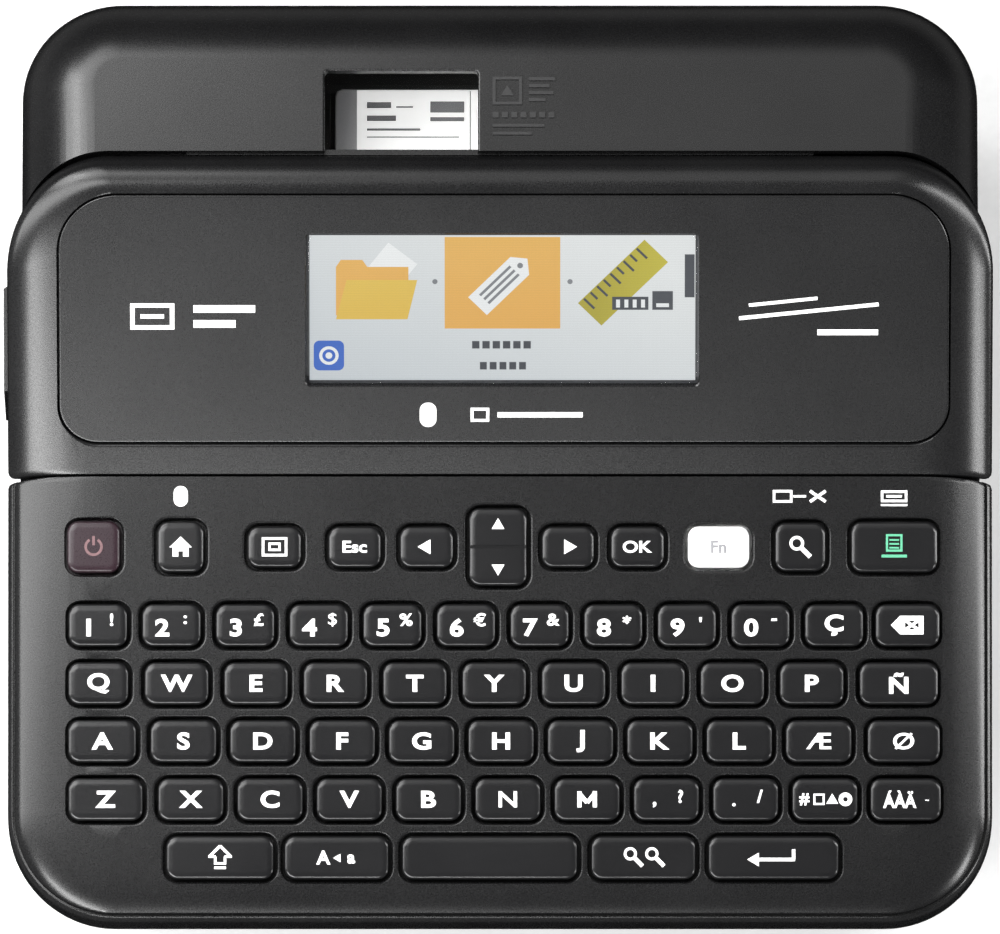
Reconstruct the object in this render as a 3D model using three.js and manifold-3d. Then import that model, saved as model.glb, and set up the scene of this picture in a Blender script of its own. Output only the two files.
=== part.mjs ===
// Desktop label maker with a sloping keyboard, a steeper display housing and a hinged rear cover.
// Millimetres, +X right, +Y back, +Z up. The origin is the middle of the overall box, on the table.
import * as THREE from 'three';
import { mergeVertices } from 'three/addons/utils/BufferGeometryUtils.js';
import Module from 'manifold-3d';

// ---------- driving dimensions ----------
const HALF_WIDTH = 100.7;
const REAR_HALF_WIDTH = 97.7;
const FRONT_Y = -93;
const REAR_Y = 91.1;
const SPLIT_Y = -4.04;
const SPLIT_GAP = 0.55;
const FRONT_TOP_Z = 30;
const DECK_SLOPE = THREE.MathUtils.degToRad(12);
const DISPLAY_SLOPE = THREE.MathUtils.degToRad(33);
const REAR_SLOPE = THREE.MathUtils.degToRad(3);
const REAR_TOP_Z = 80.2;
const DISPLAY_REAR_Y = 55.77;
const FRONT_CORNER = 22;
const DISPLAY_CORNER = 21;
const REAR_CORNER = 20.5;
const REAR_EDGE = 15;
const SKIRT = 8;
const LID_EDGE_Z = 61.6;
const WALL = 2.2;
const CASE_BOTTOM_Z = 2.2;
const FLOOR_TOP_Z = 5.2;
const HINGE_Y = 87.5;
const HINGE_Z = 57.5;
const KEY_GAP = 0.6;
const KEY_CORNER = 2.8;
const TAPE_WIDTH = 24;
const TAPE_Y = 30.8;
const GEAR_MODULE = 1;
const GEAR_Z = 25.5;
const GEAR_HEIGHT = 3;
const BAY_FLOOR_Z = 31;
const PLATEN = { x: -20, y: 26.4, radius: 4 };
const IDLER = { x: -20, y: 41.4, teeth: 20 };
const MOTOR = { x: -35, y: 41.4, teeth: 10 };
const RIBBON = { x: -16, y: 61.0, teeth: 20 };
const HOLDER_PIVOT = { x: 19, y: 26.4 };
const CASSETTE = { x0: -33.8, x1: 31.7, y0: 29.8, y1: 75.8, z0: 31.3, z1: 57 };
const TAPE_SPOOL = { x: 13, y: 55, radius: 15.5 };
// the housings are centred on x = 0, and the tape exit stands 0.8 mm proud on the left
const EXIT_PROUD = 0.8;
const CENTRE_X = EXIT_PROUD / 2;
const CENTRE_Y = -(FRONT_Y + REAR_Y) / 2;

// bezel and display, along the display slope from the split line
const BEZEL = { x: 0.8, halfWidth: 90.9, s0: 6.92, s1: 59.86, rearCorner: 12, frontCorner: 8 };
const SCREEN = { x: 0.5, halfWidth: 39.8, s0: 19.39, s1: 51.25 };
const WINDOW = { x0: -35.8, x1: -4.5, y0: 56.4, y1: 73.4 };

// key rows: distance up the slope from the front edge, and each key's centre, width and depth
const FUNCTION_S = 76.23;
const FUNCTION_KEYS = [
  ['key_power', -83.1, 11.9, 11.7],
  ['key_home', -65.3, 10.6, 11.5],
  ['key_preview', -46.1, 12.1, 9.5],
  ['key_escape', -29.7, 11.9, 9.5],
  ['key_left', -15.0, 12.1, 9.5],
  ['key_rocker', -0.4, 13.0, 17.0],
  ['key_right', 13.9, 11.9, 9.5],
  ['key_ok', 28.1, 12.1, 9.5],
  ['key_function', 44.7, 13.7, 9.6],
  ['key_search', 61.4, 11.5, 11.1],
  ['key_print', 80.6, 18.8, 11.5],
];
const BOTTOM_S = 12.65;
const BOTTOM_KEYS = [
  ['key_shift', -57.2, 23.1, 10],
  ['key_capitals', -33.4, 22.5, 10],
  ['key_space', -2.1, 37.0, 10],
  ['key_zoom', 29.3, 22.5, 10],
  ['key_enter', 55.9, 27.8, 10],
];
const ROW_KEY_DEPTH = 9.8;
const KEY_ROWS = [
  { name: 'keys_number_row', s: 60.2, first: -82.2, firstWidth: 13.2, pitch: 15.05, count: 12,
    width: 13.2, last: 83.3, lastWidth: 14.3, start: -67.15 },
  { name: 'keys_upper_row', s: 48.29, first: -82.1, firstWidth: 13.5, pitch: 16.23, count: 11,
    width: 14.3, last: 81.5, lastWidth: 17.2, start: -66.1 },
  { name: 'keys_home_row', s: 36.48, first: -81.3, firstWidth: 15.1, pitch: 16.23, count: 11,
    width: 14.7, last: 82.5, lastWidth: 16, start: -64.7 },
  { name: 'keys_lower_row', s: 24.56, first: -80.6, firstWidth: 16.4, pitch: 16.2, count: 11,
    width: 14.6, last: 82.9, lastWidth: 15.6, start: -63.2 },
];

// ---------- solids ----------
const wasm = await Module();
wasm.setup();

function toSolid(geometry) {
  const bare = geometry.clone();
  bare.deleteAttribute('normal');
  bare.deleteAttribute('uv');
  const merged = mergeVertices(bare, 1e-5);
  return new wasm.Manifold(new wasm.Mesh({
    numProp: 3,
    vertProperties: new Float32Array(merged.attributes.position.array),
    triVerts: new Uint32Array(merged.index.array),
  }));
}

function toGeometry(solid) {
  const mesh = solid.getMesh();
  const geometry = new THREE.BufferGeometry();
  const positions = new Float32Array(mesh.numVert * 3);
  for (let i = 0; i < mesh.numVert; i += 1) {
    for (let k = 0; k < 3; k += 1) {
      positions[i * 3 + k] = mesh.vertProperties[i * mesh.numProp + k];
    }
  }
  geometry.setAttribute('position', new THREE.BufferAttribute(positions, 3));
  geometry.setIndex(Array.from(mesh.triVerts));
  geometry.computeVertexNormals();
  return geometry;
}

const union = (...solids) => solids.reduce((all, next) => all.add(next));
const cut = (solid, ...tools) => tools.reduce((rest, tool) => rest.subtract(tool), solid);

// a closed skin through a stack of outlines; each level's z is a number or a function of y
function loft(levels) {
  const count = levels[0].points.length;
  const positions = [];
  for (const level of levels) {
    for (const [x, y] of level.points) {
      positions.push(x, y, typeof level.z === 'function' ? level.z(y) : level.z);
    }
  }
  const index = [];
  for (let k = 0; k + 1 < levels.length; k += 1) {
    for (let i = 0; i < count; i += 1) {
      const j = (i + 1) % count;
      const a = k * count + i;
      const b = k * count + j;
      index.push(a, b, b + count, a, b + count, a + count);
    }
  }
  const cap = (points) => THREE.ShapeUtils.triangulateShape(
    points.map(([x, y]) => new THREE.Vector2(x, y)), []);
  for (const [a, b, c] of cap(levels[0].points)) {
    index.push(c, b, a);
  }
  const top = (levels.length - 1) * count;
  for (const [a, b, c] of cap(levels[levels.length - 1].points)) {
    index.push(top + a, top + b, top + c);
  }
  const geometry = new THREE.BufferGeometry();
  geometry.setAttribute('position', new THREE.Float32BufferAttribute(positions, 3));
  geometry.setIndex(index);
  return toSolid(geometry);
}

function arc(points, x, y, radius, from, steps) {
  for (let i = 0; i <= steps; i += 1) {
    const angle = from + (Math.PI / 2) * (i / steps);
    points.push([x + radius * Math.cos(angle), y + radius * Math.sin(angle)]);
  }
}

// rounded rectangle with its own front and rear corner radii, counter-clockwise
function outline(x0, x1, y0, y1, frontR, rearR, frontSteps, rearSteps) {
  const points = [];
  arc(points, x0 + frontR, y0 + frontR, frontR, Math.PI, frontSteps);
  arc(points, x1 - frontR, y0 + frontR, frontR, Math.PI * 1.5, frontSteps);
  arc(points, x1 - rearR, y1 - rearR, rearR, 0, rearSteps);
  arc(points, x0 + rearR, y1 - rearR, rearR, Math.PI / 2, rearSteps);
  return points;
}

function pad(x, y, width, depth, radius, steps = 2) {
  return outline(x - width / 2, x + width / 2, y - depth / 2, y + depth / 2,
    radius, radius, steps, steps);
}

function prism(points, z0, z1) {
  return loft([{ points, z: z0 }, { points, z: z1 }]);
}

function box(x0, x1, y0, y1, z0, z1) {
  const geometry = new THREE.BoxGeometry(x1 - x0, y1 - y0, z1 - z0);
  geometry.translate((x0 + x1) / 2, (y0 + y1) / 2, (z0 + z1) / 2);
  return toSolid(geometry);
}

function post(x, y, radius, z0, z1, sides = 16) {
  const geometry = new THREE.CylinderGeometry(radius, radius, z1 - z0, sides);
  geometry.rotateX(Math.PI / 2);
  geometry.translate(x, y, (z0 + z1) / 2);
  return toSolid(geometry);
}

function rod(radius, x0, x1, y, z, sides = 16) {
  const geometry = new THREE.CylinderGeometry(radius, radius, x1 - x0, sides);
  geometry.rotateZ(Math.PI / 2);
  geometry.translate((x0 + x1) / 2, y, z);
  return toSolid(geometry);
}

// a side-view outline of [y, z] corners, swept across from x0 to x1
function sideProfile(corners, x0, x1) {
  const shape = new THREE.Shape(corners.map(([y, z]) => new THREE.Vector2(y, z)));
  const geometry = new THREE.ExtrudeGeometry(shape, { depth: x1 - x0, bevelEnabled: false });
  const turn = new THREE.Matrix4().makeBasis(
    new THREE.Vector3(0, 1, 0), new THREE.Vector3(0, 0, 1), new THREE.Vector3(1, 0, 0));
  geometry.applyMatrix4(turn);
  geometry.translate(x0, 0, 0);
  return toSolid(geometry);
}

// ---------- surfaces ----------
const deckZ = (y) => FRONT_TOP_Z + (y - FRONT_Y) * Math.tan(DECK_SLOPE);
const SPLIT_Z = deckZ(SPLIT_Y);
const displayZ = (y) => SPLIT_Z + (y - SPLIT_Y) * Math.tan(DISPLAY_SLOPE);
const rearZ = (y) => REAR_TOP_Z - (y - DISPLAY_REAR_Y) * Math.tan(REAR_SLOPE);
const lower = (surface, drop) => (y) => surface(y) - drop;
const skirtEndY = SPLIT_Y + (LID_EDGE_Z + SKIRT - SPLIT_Z) / Math.tan(DISPLAY_SLOPE);
const DECK_REAR_Y = SPLIT_Y - SPLIT_GAP / 2;
const LID_FRONT_Y = SPLIT_Y + SPLIT_GAP / 2;

// ---------- scene graph ----------
const labelMaker = new THREE.Group();
const housings = new THREE.Group();
housings.position.set(CENTRE_X, CENTRE_Y, 0);
labelMaker.add(housings);
const keyboard = new THREE.Group();
keyboard.position.set(0, FRONT_Y, FRONT_TOP_Z);
keyboard.rotation.x = DECK_SLOPE;
const displayDeck = new THREE.Group();
displayDeck.position.set(0, SPLIT_Y, SPLIT_Z);
displayDeck.rotation.x = DISPLAY_SLOPE;
housings.add(keyboard, displayDeck);
keyboard.updateMatrix();
displayDeck.updateMatrix();

const looks = {
  shell: { color: 0x2b2b2d, roughness: 0.62, metalness: 0 },
  bezel: { color: 0x303032, roughness: 0.5, metalness: 0 },
  key: { color: 0x3a3a3c, roughness: 0.7, metalness: 0 },
  whiteKey: { color: 0xe9e9e6, roughness: 0.6, metalness: 0 },
  inner: { color: 0x232325, roughness: 0.7, metalness: 0 },
  clear: { color: 0xdfe6ea, roughness: 0.08, metalness: 0, transparent: true, opacity: 0.3 },
  screen: { color: 0xd8dde0, roughness: 0.3, metalness: 0 },
  board: { color: 0x1f5b38, roughness: 0.5, metalness: 0 },
  steel: { color: 0xb9bcc0, roughness: 0.35, metalness: 0.9 },
  aluminium: { color: 0xc8cacc, roughness: 0.45, metalness: 0.85 },
  rubber: { color: 0x1a1a1b, roughness: 0.9, metalness: 0 },
  gear: { color: 0xe8e6df, roughness: 0.55, metalness: 0 },
  cassette: { color: 0x9a9c9e, roughness: 0.6, metalness: 0 },
  paper: { color: 0xf4f4f0, roughness: 0.8, metalness: 0 },
};

function addPart(name, solid, look, parent = housings) {
  const material = new THREE.MeshStandardMaterial({ ...looks[look], flatShading: true });
  const mesh = new THREE.Mesh(toGeometry(solid), material);
  mesh.name = name;
  parent.add(mesh);
  return mesh;
}

function inGroup(solid, group) {
  const geometry = toGeometry(solid);
  geometry.applyMatrix4(group.matrix);
  return toSolid(geometry);
}

// ---------- key layout ----------
function rowKeys(row) {
  const keys = [[row.first, row.firstWidth]];
  for (let i = 0; i < row.count - 2; i += 1) {
    keys.push([row.start + i * row.pitch, row.width]);
  }
  keys.push([row.last, row.lastWidth]);
  return keys;
}

const keyHoles = [];
for (const [, x, width, depth] of FUNCTION_KEYS) {
  keyHoles.push(pad(x, FUNCTION_S, width, depth, KEY_CORNER));
}
for (const row of KEY_ROWS) {
  for (const [x, width] of rowKeys(row)) {
    keyHoles.push(pad(x, row.s, width, ROW_KEY_DEPTH, KEY_CORNER, 1));
  }
}
for (const [, x, width, depth] of BOTTOM_KEYS) {
  keyHoles.push(pad(x, BOTTOM_S, width, depth, KEY_CORNER));
}

// ---------- keyboard deck ----------
// edge profile shared by both housings: [inset, drop below the slope]
const EDGE = [[0, 3.6], [0.4, 2.9], [1.2, 2.45], [4, 1.4], [9, 0.45], [16, 0]];

function deckLevel(inset, drop) {
  const points = outline(-HALF_WIDTH + inset, HALF_WIDTH - inset, FRONT_Y + inset, DECK_REAR_Y,
    Math.max(FRONT_CORNER - inset, 4), 1, 8, 1);
  return { points, z: lower(deckZ, drop) };
}

function deckHollow(inset, drop) {
  const points = outline(-HALF_WIDTH + inset, HALF_WIDTH - inset, FRONT_Y + inset,
    DECK_REAR_Y - WALL, Math.max(FRONT_CORNER - inset, 4), 1, 8, 1);
  return { points, z: lower(deckZ, drop) };
}

const deckShell = loft([deckLevel(0, SKIRT), ...EDGE.map(([inset, drop]) => deckLevel(inset, drop))]);
const deckInside = loft([
  deckHollow(WALL, SKIRT + 2),
  deckHollow(WALL, 5.5),
  deckHollow(5, 3.2),
  deckHollow(14, 3),
]);
let deck = deckShell.subtract(deckInside);
for (const hole of keyHoles) {
  deck = deck.subtract(inGroup(prism(hole, -8, 3), keyboard));
}
addPart('keyboard_deck', deck, 'shell');

// ---------- keys ----------
const FLANGE = 0.8;
const SIDE_FLANGE = 0.3;
const FLANGE_TOP = -3.5;
// the rocker's flange sits lower, so that it clears the deck when the key tilts
const ROCKER_FLANGE_TOP = -4.2;

function keySolid(x, s, width, depth, flangeTop = FLANGE_TOP) {
  const w = width - 2 * KEY_GAP;
  const d = depth - 2 * KEY_GAP;
  const r = KEY_CORNER - KEY_GAP;
  const flange = pad(x, s, width + 2 * SIDE_FLANGE, depth + 2 * FLANGE, r);
  return loft([
    { points: pad(x, s, 5, 4, 1), z: -6.2 },
    { points: pad(x, s, 5, 4, 1), z: flangeTop - 1.1 },
    { points: flange, z: flangeTop - 1.1 },
    { points: flange, z: flangeTop },
    { points: pad(x, s, w, d, r), z: flangeTop },
    { points: pad(x, s, w, d, r), z: 0.75 },
    { points: pad(x, s, w - 0.9, d - 0.9, r - 0.4), z: 1.2 },
  ]);
}

for (const [name, x, width, depth] of FUNCTION_KEYS) {
  const look = name === 'key_function' ? 'whiteKey' : 'key';
  const flangeTop = name === 'key_rocker' ? ROCKER_FLANGE_TOP : FLANGE_TOP;
  addPart(name, keySolid(x, FUNCTION_S, width, depth, flangeTop), look, keyboard);
}
for (const [name, x, width, depth] of BOTTOM_KEYS) {
  addPart(name, keySolid(x, BOTTOM_S, width, depth), 'key', keyboard);
}

// the number and letter keys of a row share one silicone web under the deck
for (const row of KEY_ROWS) {
  const keys = rowKeys(row);
  const left = keys[0][0] - keys[0][1] / 2 - FLANGE;
  const right = keys[keys.length - 1][0] + keys[keys.length - 1][1] / 2 + FLANGE;
  const webDepth = ROW_KEY_DEPTH + 1.2;
  let strip = prism(outline(left, right, row.s - webDepth / 2, row.s + webDepth / 2, 2, 2, 1, 1),
    -4.6, -3.5);
  for (const [x, width] of keys) {
    const w = width - 2 * KEY_GAP;
    const d = ROW_KEY_DEPTH - 2 * KEY_GAP;
    const r = KEY_CORNER - KEY_GAP;
    strip = strip.add(loft([
      { points: pad(x, row.s, w, d, r, 1), z: -4 },
      { points: pad(x, row.s, w, d, r, 1), z: 0.75 },
      { points: pad(x, row.s, w - 0.9, d - 0.9, r - 0.4, 1), z: 1.2 },
    ]));
  }
  addPart(row.name, strip, 'key', keyboard);
}

addPart('keypad_mat', prism(outline(-88, 88, 7, 84, 6, 2, 2, 1), -8.2, -7.5), 'rubber', keyboard);
addPart('keypad_board', prism(outline(-89, 89, 6, 85, 6, 2, 2, 1), -10.1, -8.5), 'board', keyboard);

// ---------- bottom case ----------
function caseLevels(halfWidth, y0, y1, frontR, rearR, wall) {
  const level = (inset, z) => ({
    points: outline(-halfWidth + inset, halfWidth - inset, y0 + inset, y1 - inset,
      frontR - inset, rearR - inset, 6, 6),
    z,
  });
  if (wall > 0) {
    return loft([level(4.2 + wall, FLOOR_TOP_Z), level(wall, 22), level(wall, 75)]);
  }
  return loft([level(6, CASE_BOTTOM_Z), level(4.4, 3.8), level(0, 22), level(0, 74)]);
}

function caseBody(wall) {
  return union(
    caseLevels(98.2, -90.5, 58, 20, 18.5, wall),
    caseLevels(95.0, -40, 88.5, 20, 18.3, wall),
  );
}

const caseTop = sideProfile([
  [FRONT_Y - 5, deckZ(FRONT_Y - 5) - SKIRT - 0.4],
  [SPLIT_Y, SPLIT_Z - SKIRT - 0.4],
  [skirtEndY, LID_EDGE_Z - 0.4],
  [100, LID_EDGE_Z - 0.4],
  [100, 90],
  [FRONT_Y - 5, 90],
], -110, 110);

const BATTERY_BAY = { x: 53, y0: -77, y1: -30, z: 19.3 };
const DOOR_SLIDE = 6;
const batteryWalls = box(-BATTERY_BAY.x - 2, BATTERY_BAY.x + 2, BATTERY_BAY.y0 - 2,
  BATTERY_BAY.y1 + 2, 3, BATTERY_BAY.z + 1.7);
const batteryHole = box(-BATTERY_BAY.x, BATTERY_BAY.x, BATTERY_BAY.y0, BATTERY_BAY.y1, 0,
  BATTERY_BAY.z);
const doorRecess = box(-BATTERY_BAY.x, BATTERY_BAY.x, BATTERY_BAY.y0 - DOOR_SLIDE - 0.3,
  BATTERY_BAY.y0 + 1, 0, 4.1);
const exitNotch = box(-110, -90, 12.6, 34.8, 28, 80);
const JACK_Y = 29.5;
const DATA_Y = 17.5;
const jackHole = rod(4.2, 85, 110, JACK_Y, 14);
const dataHole = box(85, 110, DATA_Y - 4.8, DATA_Y + 4.8, 8.6, 13.6);

// hinge ears and the room for the lid's knuckles between them
const KNUCKLE_X = 60;
const KNUCKLE_HALF = 4;
const EAR_OUT = 9;
const BARREL = 2.8;
const PIN = 1.2;
let bottomCase = caseBody(0).subtract(caseBody(WALL));
for (const side of [-1, 1]) {
  const centre = side * KNUCKLE_X;
  bottomCase = union(bottomCase, rod(BARREL, centre - EAR_OUT, centre + EAR_OUT, HINGE_Y, HINGE_Z));
}
bottomCase = cut(bottomCase.add(batteryWalls), caseTop, batteryHole, doorRecess, exitNotch, jackHole,
  dataHole);
for (const side of [-1, 1]) {
  const centre = side * KNUCKLE_X;
  const gap = KNUCKLE_HALF + 0.4;
  bottomCase = cut(bottomCase,
    box(centre - gap, centre + gap, HINGE_Y - 6, HINGE_Y + 6, HINGE_Z - 5, HINGE_Z + 12),
    rod(PIN + 0.3, centre - EAR_OUT - 1, centre + EAR_OUT + 1, HINGE_Y, HINGE_Z, 12));
}
addPart('bottom_case', bottomCase, 'shell');

for (const [side, word] of [[-1, 'left'], [1, 'right']]) {
  const centre = side * KNUCKLE_X;
  addPart(`hinge_pin_${word}`, rod(PIN, centre - EAR_OUT, centre + EAR_OUT, HINGE_Y, HINGE_Z, 12),
    'steel');
}

const FEET = [[-78, -68], [78, -68], [-78, 72], [78, 72]];
FEET.forEach(([x, y], i) => {
  addPart(`foot_${i + 1}`, post(x, y, 6, 0, CASE_BOTTOM_Z - 0.3), 'rubber');
});

const door = union(
  box(-BATTERY_BAY.x + 0.4, BATTERY_BAY.x - 0.4, BATTERY_BAY.y0 + 0.4, BATTERY_BAY.y1 - 0.4,
    CASE_BOTTOM_Z, 3.8),
  box(-30, 30, BATTERY_BAY.y0 + 1.5, BATTERY_BAY.y0 + 3, 1.5, 3),
);
addPart('battery_door', door, 'shell');

const CELL = 7.25;
const CELL_PITCH = 14.2;
const cells = [-1, 0, 1].map((k) => rod(CELL, -50.5, 50.5, -53.5 + k * CELL_PITCH, 4.4 + CELL, 14));
const wrap = box(-50, 50, -53.5 - CELL_PITCH, -53.5 + CELL_PITCH, 8, 4.4 + CELL);
addPart('battery_pack', union(wrap, ...cells), 'bezel');

// ---------- boards and sockets ----------
addPart('main_board', box(-80, 81, -20, 78, 7, 8.6), 'board');

const jack = cut(box(80.5, 92.2, JACK_Y - 4.5, JACK_Y + 4.5, 9, 19.5), rod(3, 83, 94, JACK_Y, 14));
addPart('dc_jack', jack.add(rod(0.9, 81.5, 91, JACK_Y, 14, 8)), 'inner');
addPart('usb_port', cut(box(83, 92.2, DATA_Y - 4, DATA_Y + 4, 9, 13),
  box(84, 94, DATA_Y - 3.1, DATA_Y + 3.1, 9.9, 12.1)), 'steel');

// ---------- mechanism frame ----------
const BAY = { x0: -34.9, x1: 32.8, y0: 29, y1: 76.7 };
const PATH = { x0: -93.5, x1: 25, y0: 15.5, y1: 34 };
// the roller holder swings in an opening through the frame, between the tape path and its pivot
const HOLDER_OPENING = { x0: -43, x1: 14, y0: 15.5, y1: 29 };
const FRAME_TOP_Z = 38;
const BAY_WALL = 1.8;

function tray(inner, frontWall, top) {
  return box(inner.x0 - BAY_WALL, inner.x1 + BAY_WALL, inner.y0 - frontWall, inner.y1 + BAY_WALL,
    BAY_FLOOR_Z - BAY_WALL, top);
}

let frame = union(
  prism(outline(-92.6, 92.6, 2, 85, 6, 16, 2, 4), FRAME_TOP_Z - 2, FRAME_TOP_Z),
  tray(BAY, 0, 50),
  tray(PATH, BAY_WALL, FRAME_TOP_Z),
);
frame = cut(frame,
  box(BAY.x0, BAY.x1, BAY.y0 - 1, BAY.y1, BAY_FLOOR_Z, 60),
  box(PATH.x0, PATH.x1, PATH.y0, PATH.y1, BAY_FLOOR_Z, 60),
  box(HOLDER_OPENING.x0, HOLDER_OPENING.x1, HOLDER_OPENING.y0, HOLDER_OPENING.y1, 25, 60),
  box(-97, -90, TAPE_Y - 2.5, TAPE_Y + 2.5, BAY_FLOOR_Z, 60),
  post(RIBBON.x, RIBBON.y, 3.4, 25, 33, 12),
);
const legs = [[-86, 8], [86, 8], [-84, 64], [84, 64]].map(([x, y]) => post(x, y, 3, 5.5, 37, 8));
frame = union(frame, ...legs,
  post(HOLDER_PIVOT.x, HOLDER_PIVOT.y, 1.5, 30, 53.8, 12),
  post(IDLER.x, IDLER.y, 1.6, 25, 30, 12));
addPart('mechanism_frame', frame, 'inner');

// ---------- feed train ----------
// toothed outline: pitch radius is half the module times the teeth; half a tooth of turn per phase
function gearSolid(x, y, teeth, turn, bore) {
  const pitchR = (GEAR_MODULE * teeth) / 2;
  const rootR = pitchR - 1.15 * GEAR_MODULE;
  const tipR = pitchR + 0.85 * GEAR_MODULE;
  const step = (2 * Math.PI) / teeth;
  const points = [];
  for (let i = 0; i < teeth; i += 1) {
    const middle = turn + i * step;
    const corners = [[rootR, -0.29], [tipR, -0.11], [tipR, 0.11], [rootR, 0.29]];
    for (const [radius, share] of corners) {
      const angle = middle + share * step;
      points.push([x + radius * Math.cos(angle), y + radius * Math.sin(angle)]);
    }
  }
  const wheel = prism(points, GEAR_Z, GEAR_Z + GEAR_HEIGHT);
  return bore > 0 ? wheel.subtract(post(x, y, bore, GEAR_Z - 1, GEAR_Z + GEAR_HEIGHT + 1, 12)) : wheel;
}

const halfTooth = (teeth) => Math.PI / teeth;
const toward = (from, to) => Math.atan2(to.y - from.y, to.x - from.x);
// the idler has a tooth facing each neighbour's gap
const idlerTurn = toward(IDLER, PLATEN);
addPart('idler_gear', gearSolid(IDLER.x, IDLER.y, IDLER.teeth, idlerTurn, 1.9), 'gear');

// phase of a wheel meshing with the idler, so that tooth meets gap along the line of centres
function meshTurn(wheel, teeth) {
  const line = toward(IDLER, wheel);
  const idlerStep = (2 * Math.PI) / IDLER.teeth;
  const offset = (line - idlerTurn) / idlerStep;
  const share = offset - Math.round(offset);
  return line + Math.PI + halfTooth(teeth) + share * ((2 * Math.PI) / teeth);
}

const motorGear = union(
  gearSolid(MOTOR.x, MOTOR.y, MOTOR.teeth, meshTurn(MOTOR, MOTOR.teeth), 0),
  post(MOTOR.x, MOTOR.y, 1, 24.3, GEAR_Z + 1, 8),
);
addPart('motor_gear', motorGear, 'gear');
addPart('feed_motor', post(MOTOR.x, MOTOR.y, 9, 10, 24, 20), 'steel');

const platen = union(
  post(PLATEN.x, PLATEN.y, PLATEN.radius, 34.2, 51.4, 20),
  post(PLATEN.x, PLATEN.y, 1.5, GEAR_Z + 1, 53.6, 12),
  gearSolid(PLATEN.x, PLATEN.y, 10, meshTurn(PLATEN, 10), 0),
);
addPart('platen_roller', platen, 'rubber');

const ribbonDrive = union(
  gearSolid(RIBBON.x, RIBBON.y, RIBBON.teeth, meshTurn(RIBBON, RIBBON.teeth), 0),
  post(RIBBON.x, RIBBON.y, 2.7, GEAR_Z + 1, 50, 6),
);
addPart('ribbon_drive', ribbonDrive, 'gear');

const holderPlate = (z) => prism(outline(-26, 22.5, 20, 29.6, 2, 2, 1, 1), z, z + 2);
const holder = cut(
  union(holderPlate(31.5), holderPlate(52), box(-25, 21, 20, 21.4, 32, 53)),
  post(PLATEN.x, PLATEN.y, 1.8, 30, 60, 12),
  post(HOLDER_PIVOT.x, HOLDER_PIVOT.y, 1.8, 30, 60, 12),
);
addPart('roller_holder', holder, 'inner');

const head = union(
  box(-27, -13, 31.4, 33.4, 31.3, 54),
  ...[-26, -22.5, -19, -15.5].map((x) => box(x, x + 1.6, 33, 36.4, 31.3, 50)),
);
addPart('print_head', head, 'aluminium');

// ---------- cutter and tape exit ----------
// the cutter's top follows the underside of the lid
const underLid = sideProfile([
  [0, displayZ(0) - 11],
  [60, displayZ(60) - 11],
  [60, 120],
  [0, 120],
], -110, 110);
addPart('cutter_guide', cut(
  box(-50.4, -46.4, 18, 33.6, 31.3, 58.5),
  box(-51, -46, TAPE_Y - 1, TAPE_Y + 1, 31.8, 57.2),
  underLid,
), 'inner');
addPart('cutter_blade', cut(sideProfile(
  [[19, 31.6], [26.5, 31.6], [28.6, 57], [19, 57]], -51.9, -50.9), underLid), 'steel');

const exitTop = sideProfile([
  [0, displayZ(0) - SKIRT - 0.5],
  [skirtEndY, LID_EDGE_Z - 0.5],
  [60, LID_EDGE_Z - 0.5],
  [60, 90],
  [0, 90],
], -110, -90);
const exitPlan = [
  [-101.5, 13], [-95.6, 13], [-95.6, 34.4], [-98.6, 34.4], [-101.5, 32.2],
];
addPart('exit_guide', cut(
  prism(exitPlan, 28.4, 70),
  exitTop,
  box(-110, -90, TAPE_Y - 0.9, TAPE_Y + 0.9, BAY_FLOOR_Z + 0.5, 57.2),
), 'shell');

// ---------- cassette ----------
const SHELL = 1.4;
const notch = box(-40, -10, 20, 38, 30, 60);
const notchWall = box(-40, -10 + SHELL, 20, 38 + SHELL, 30, 60);
const cassetteOuter = prism(outline(CASSETTE.x0, CASSETTE.x1, CASSETTE.y0, CASSETTE.y1, 1.5, 1.5, 2, 2),
  CASSETTE.z0, CASSETTE.z1);
const cassetteHollow = cut(
  box(CASSETTE.x0 + SHELL, CASSETTE.x1 - SHELL, CASSETTE.y0 + SHELL, CASSETTE.y1 - SHELL,
    CASSETTE.z0 + SHELL, CASSETTE.z1 - SHELL),
  notchWall,
);
addPart('cassette_shell', cut(cassetteOuter, notch, cassetteHollow,
  post(RIBBON.x, RIBBON.y, 4.2, 30, 34, 16),
  post(TAPE_SPOOL.x, TAPE_SPOOL.y, 4.2, 30, 34, 16)), 'cassette');
addPart('cassette_label', box(-29.3, 10, 45, 75.4, CASSETTE.z1 + 0.2, CASSETTE.z1 + 0.4), 'paper');
addPart('tape_spool', cut(post(TAPE_SPOOL.x, TAPE_SPOOL.y, TAPE_SPOOL.radius, 33.1, 55.2, 24),
  post(TAPE_SPOOL.x, TAPE_SPOOL.y, 5, 30, 60, 12)), 'paper');
addPart('ribbon_spool', cut(post(RIBBON.x, RIBBON.y, 7.5, 33.1, 55.2, 20),
  post(RIBBON.x, RIBBON.y, 3.1, 30, 60, 6)), 'inner');
addPart('label_tape', box(-50.2, -10.4, TAPE_Y - 0.2, TAPE_Y + 0.2, 44 - TAPE_WIDTH / 2,
  44 + TAPE_WIDTH / 2), 'paper');

// ---------- lid: display housing ----------
// one level of the housing: side inset, rear inset, front edge and drop below the display slope
function housingLevel(side, rear, front, drop, rearR) {
  const points = outline(-HALF_WIDTH + side, HALF_WIDTH - side, front, DISPLAY_REAR_Y - rear,
    1, rearR, 1, 8);
  return { points, z: lower(displayZ, drop) };
}

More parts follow.
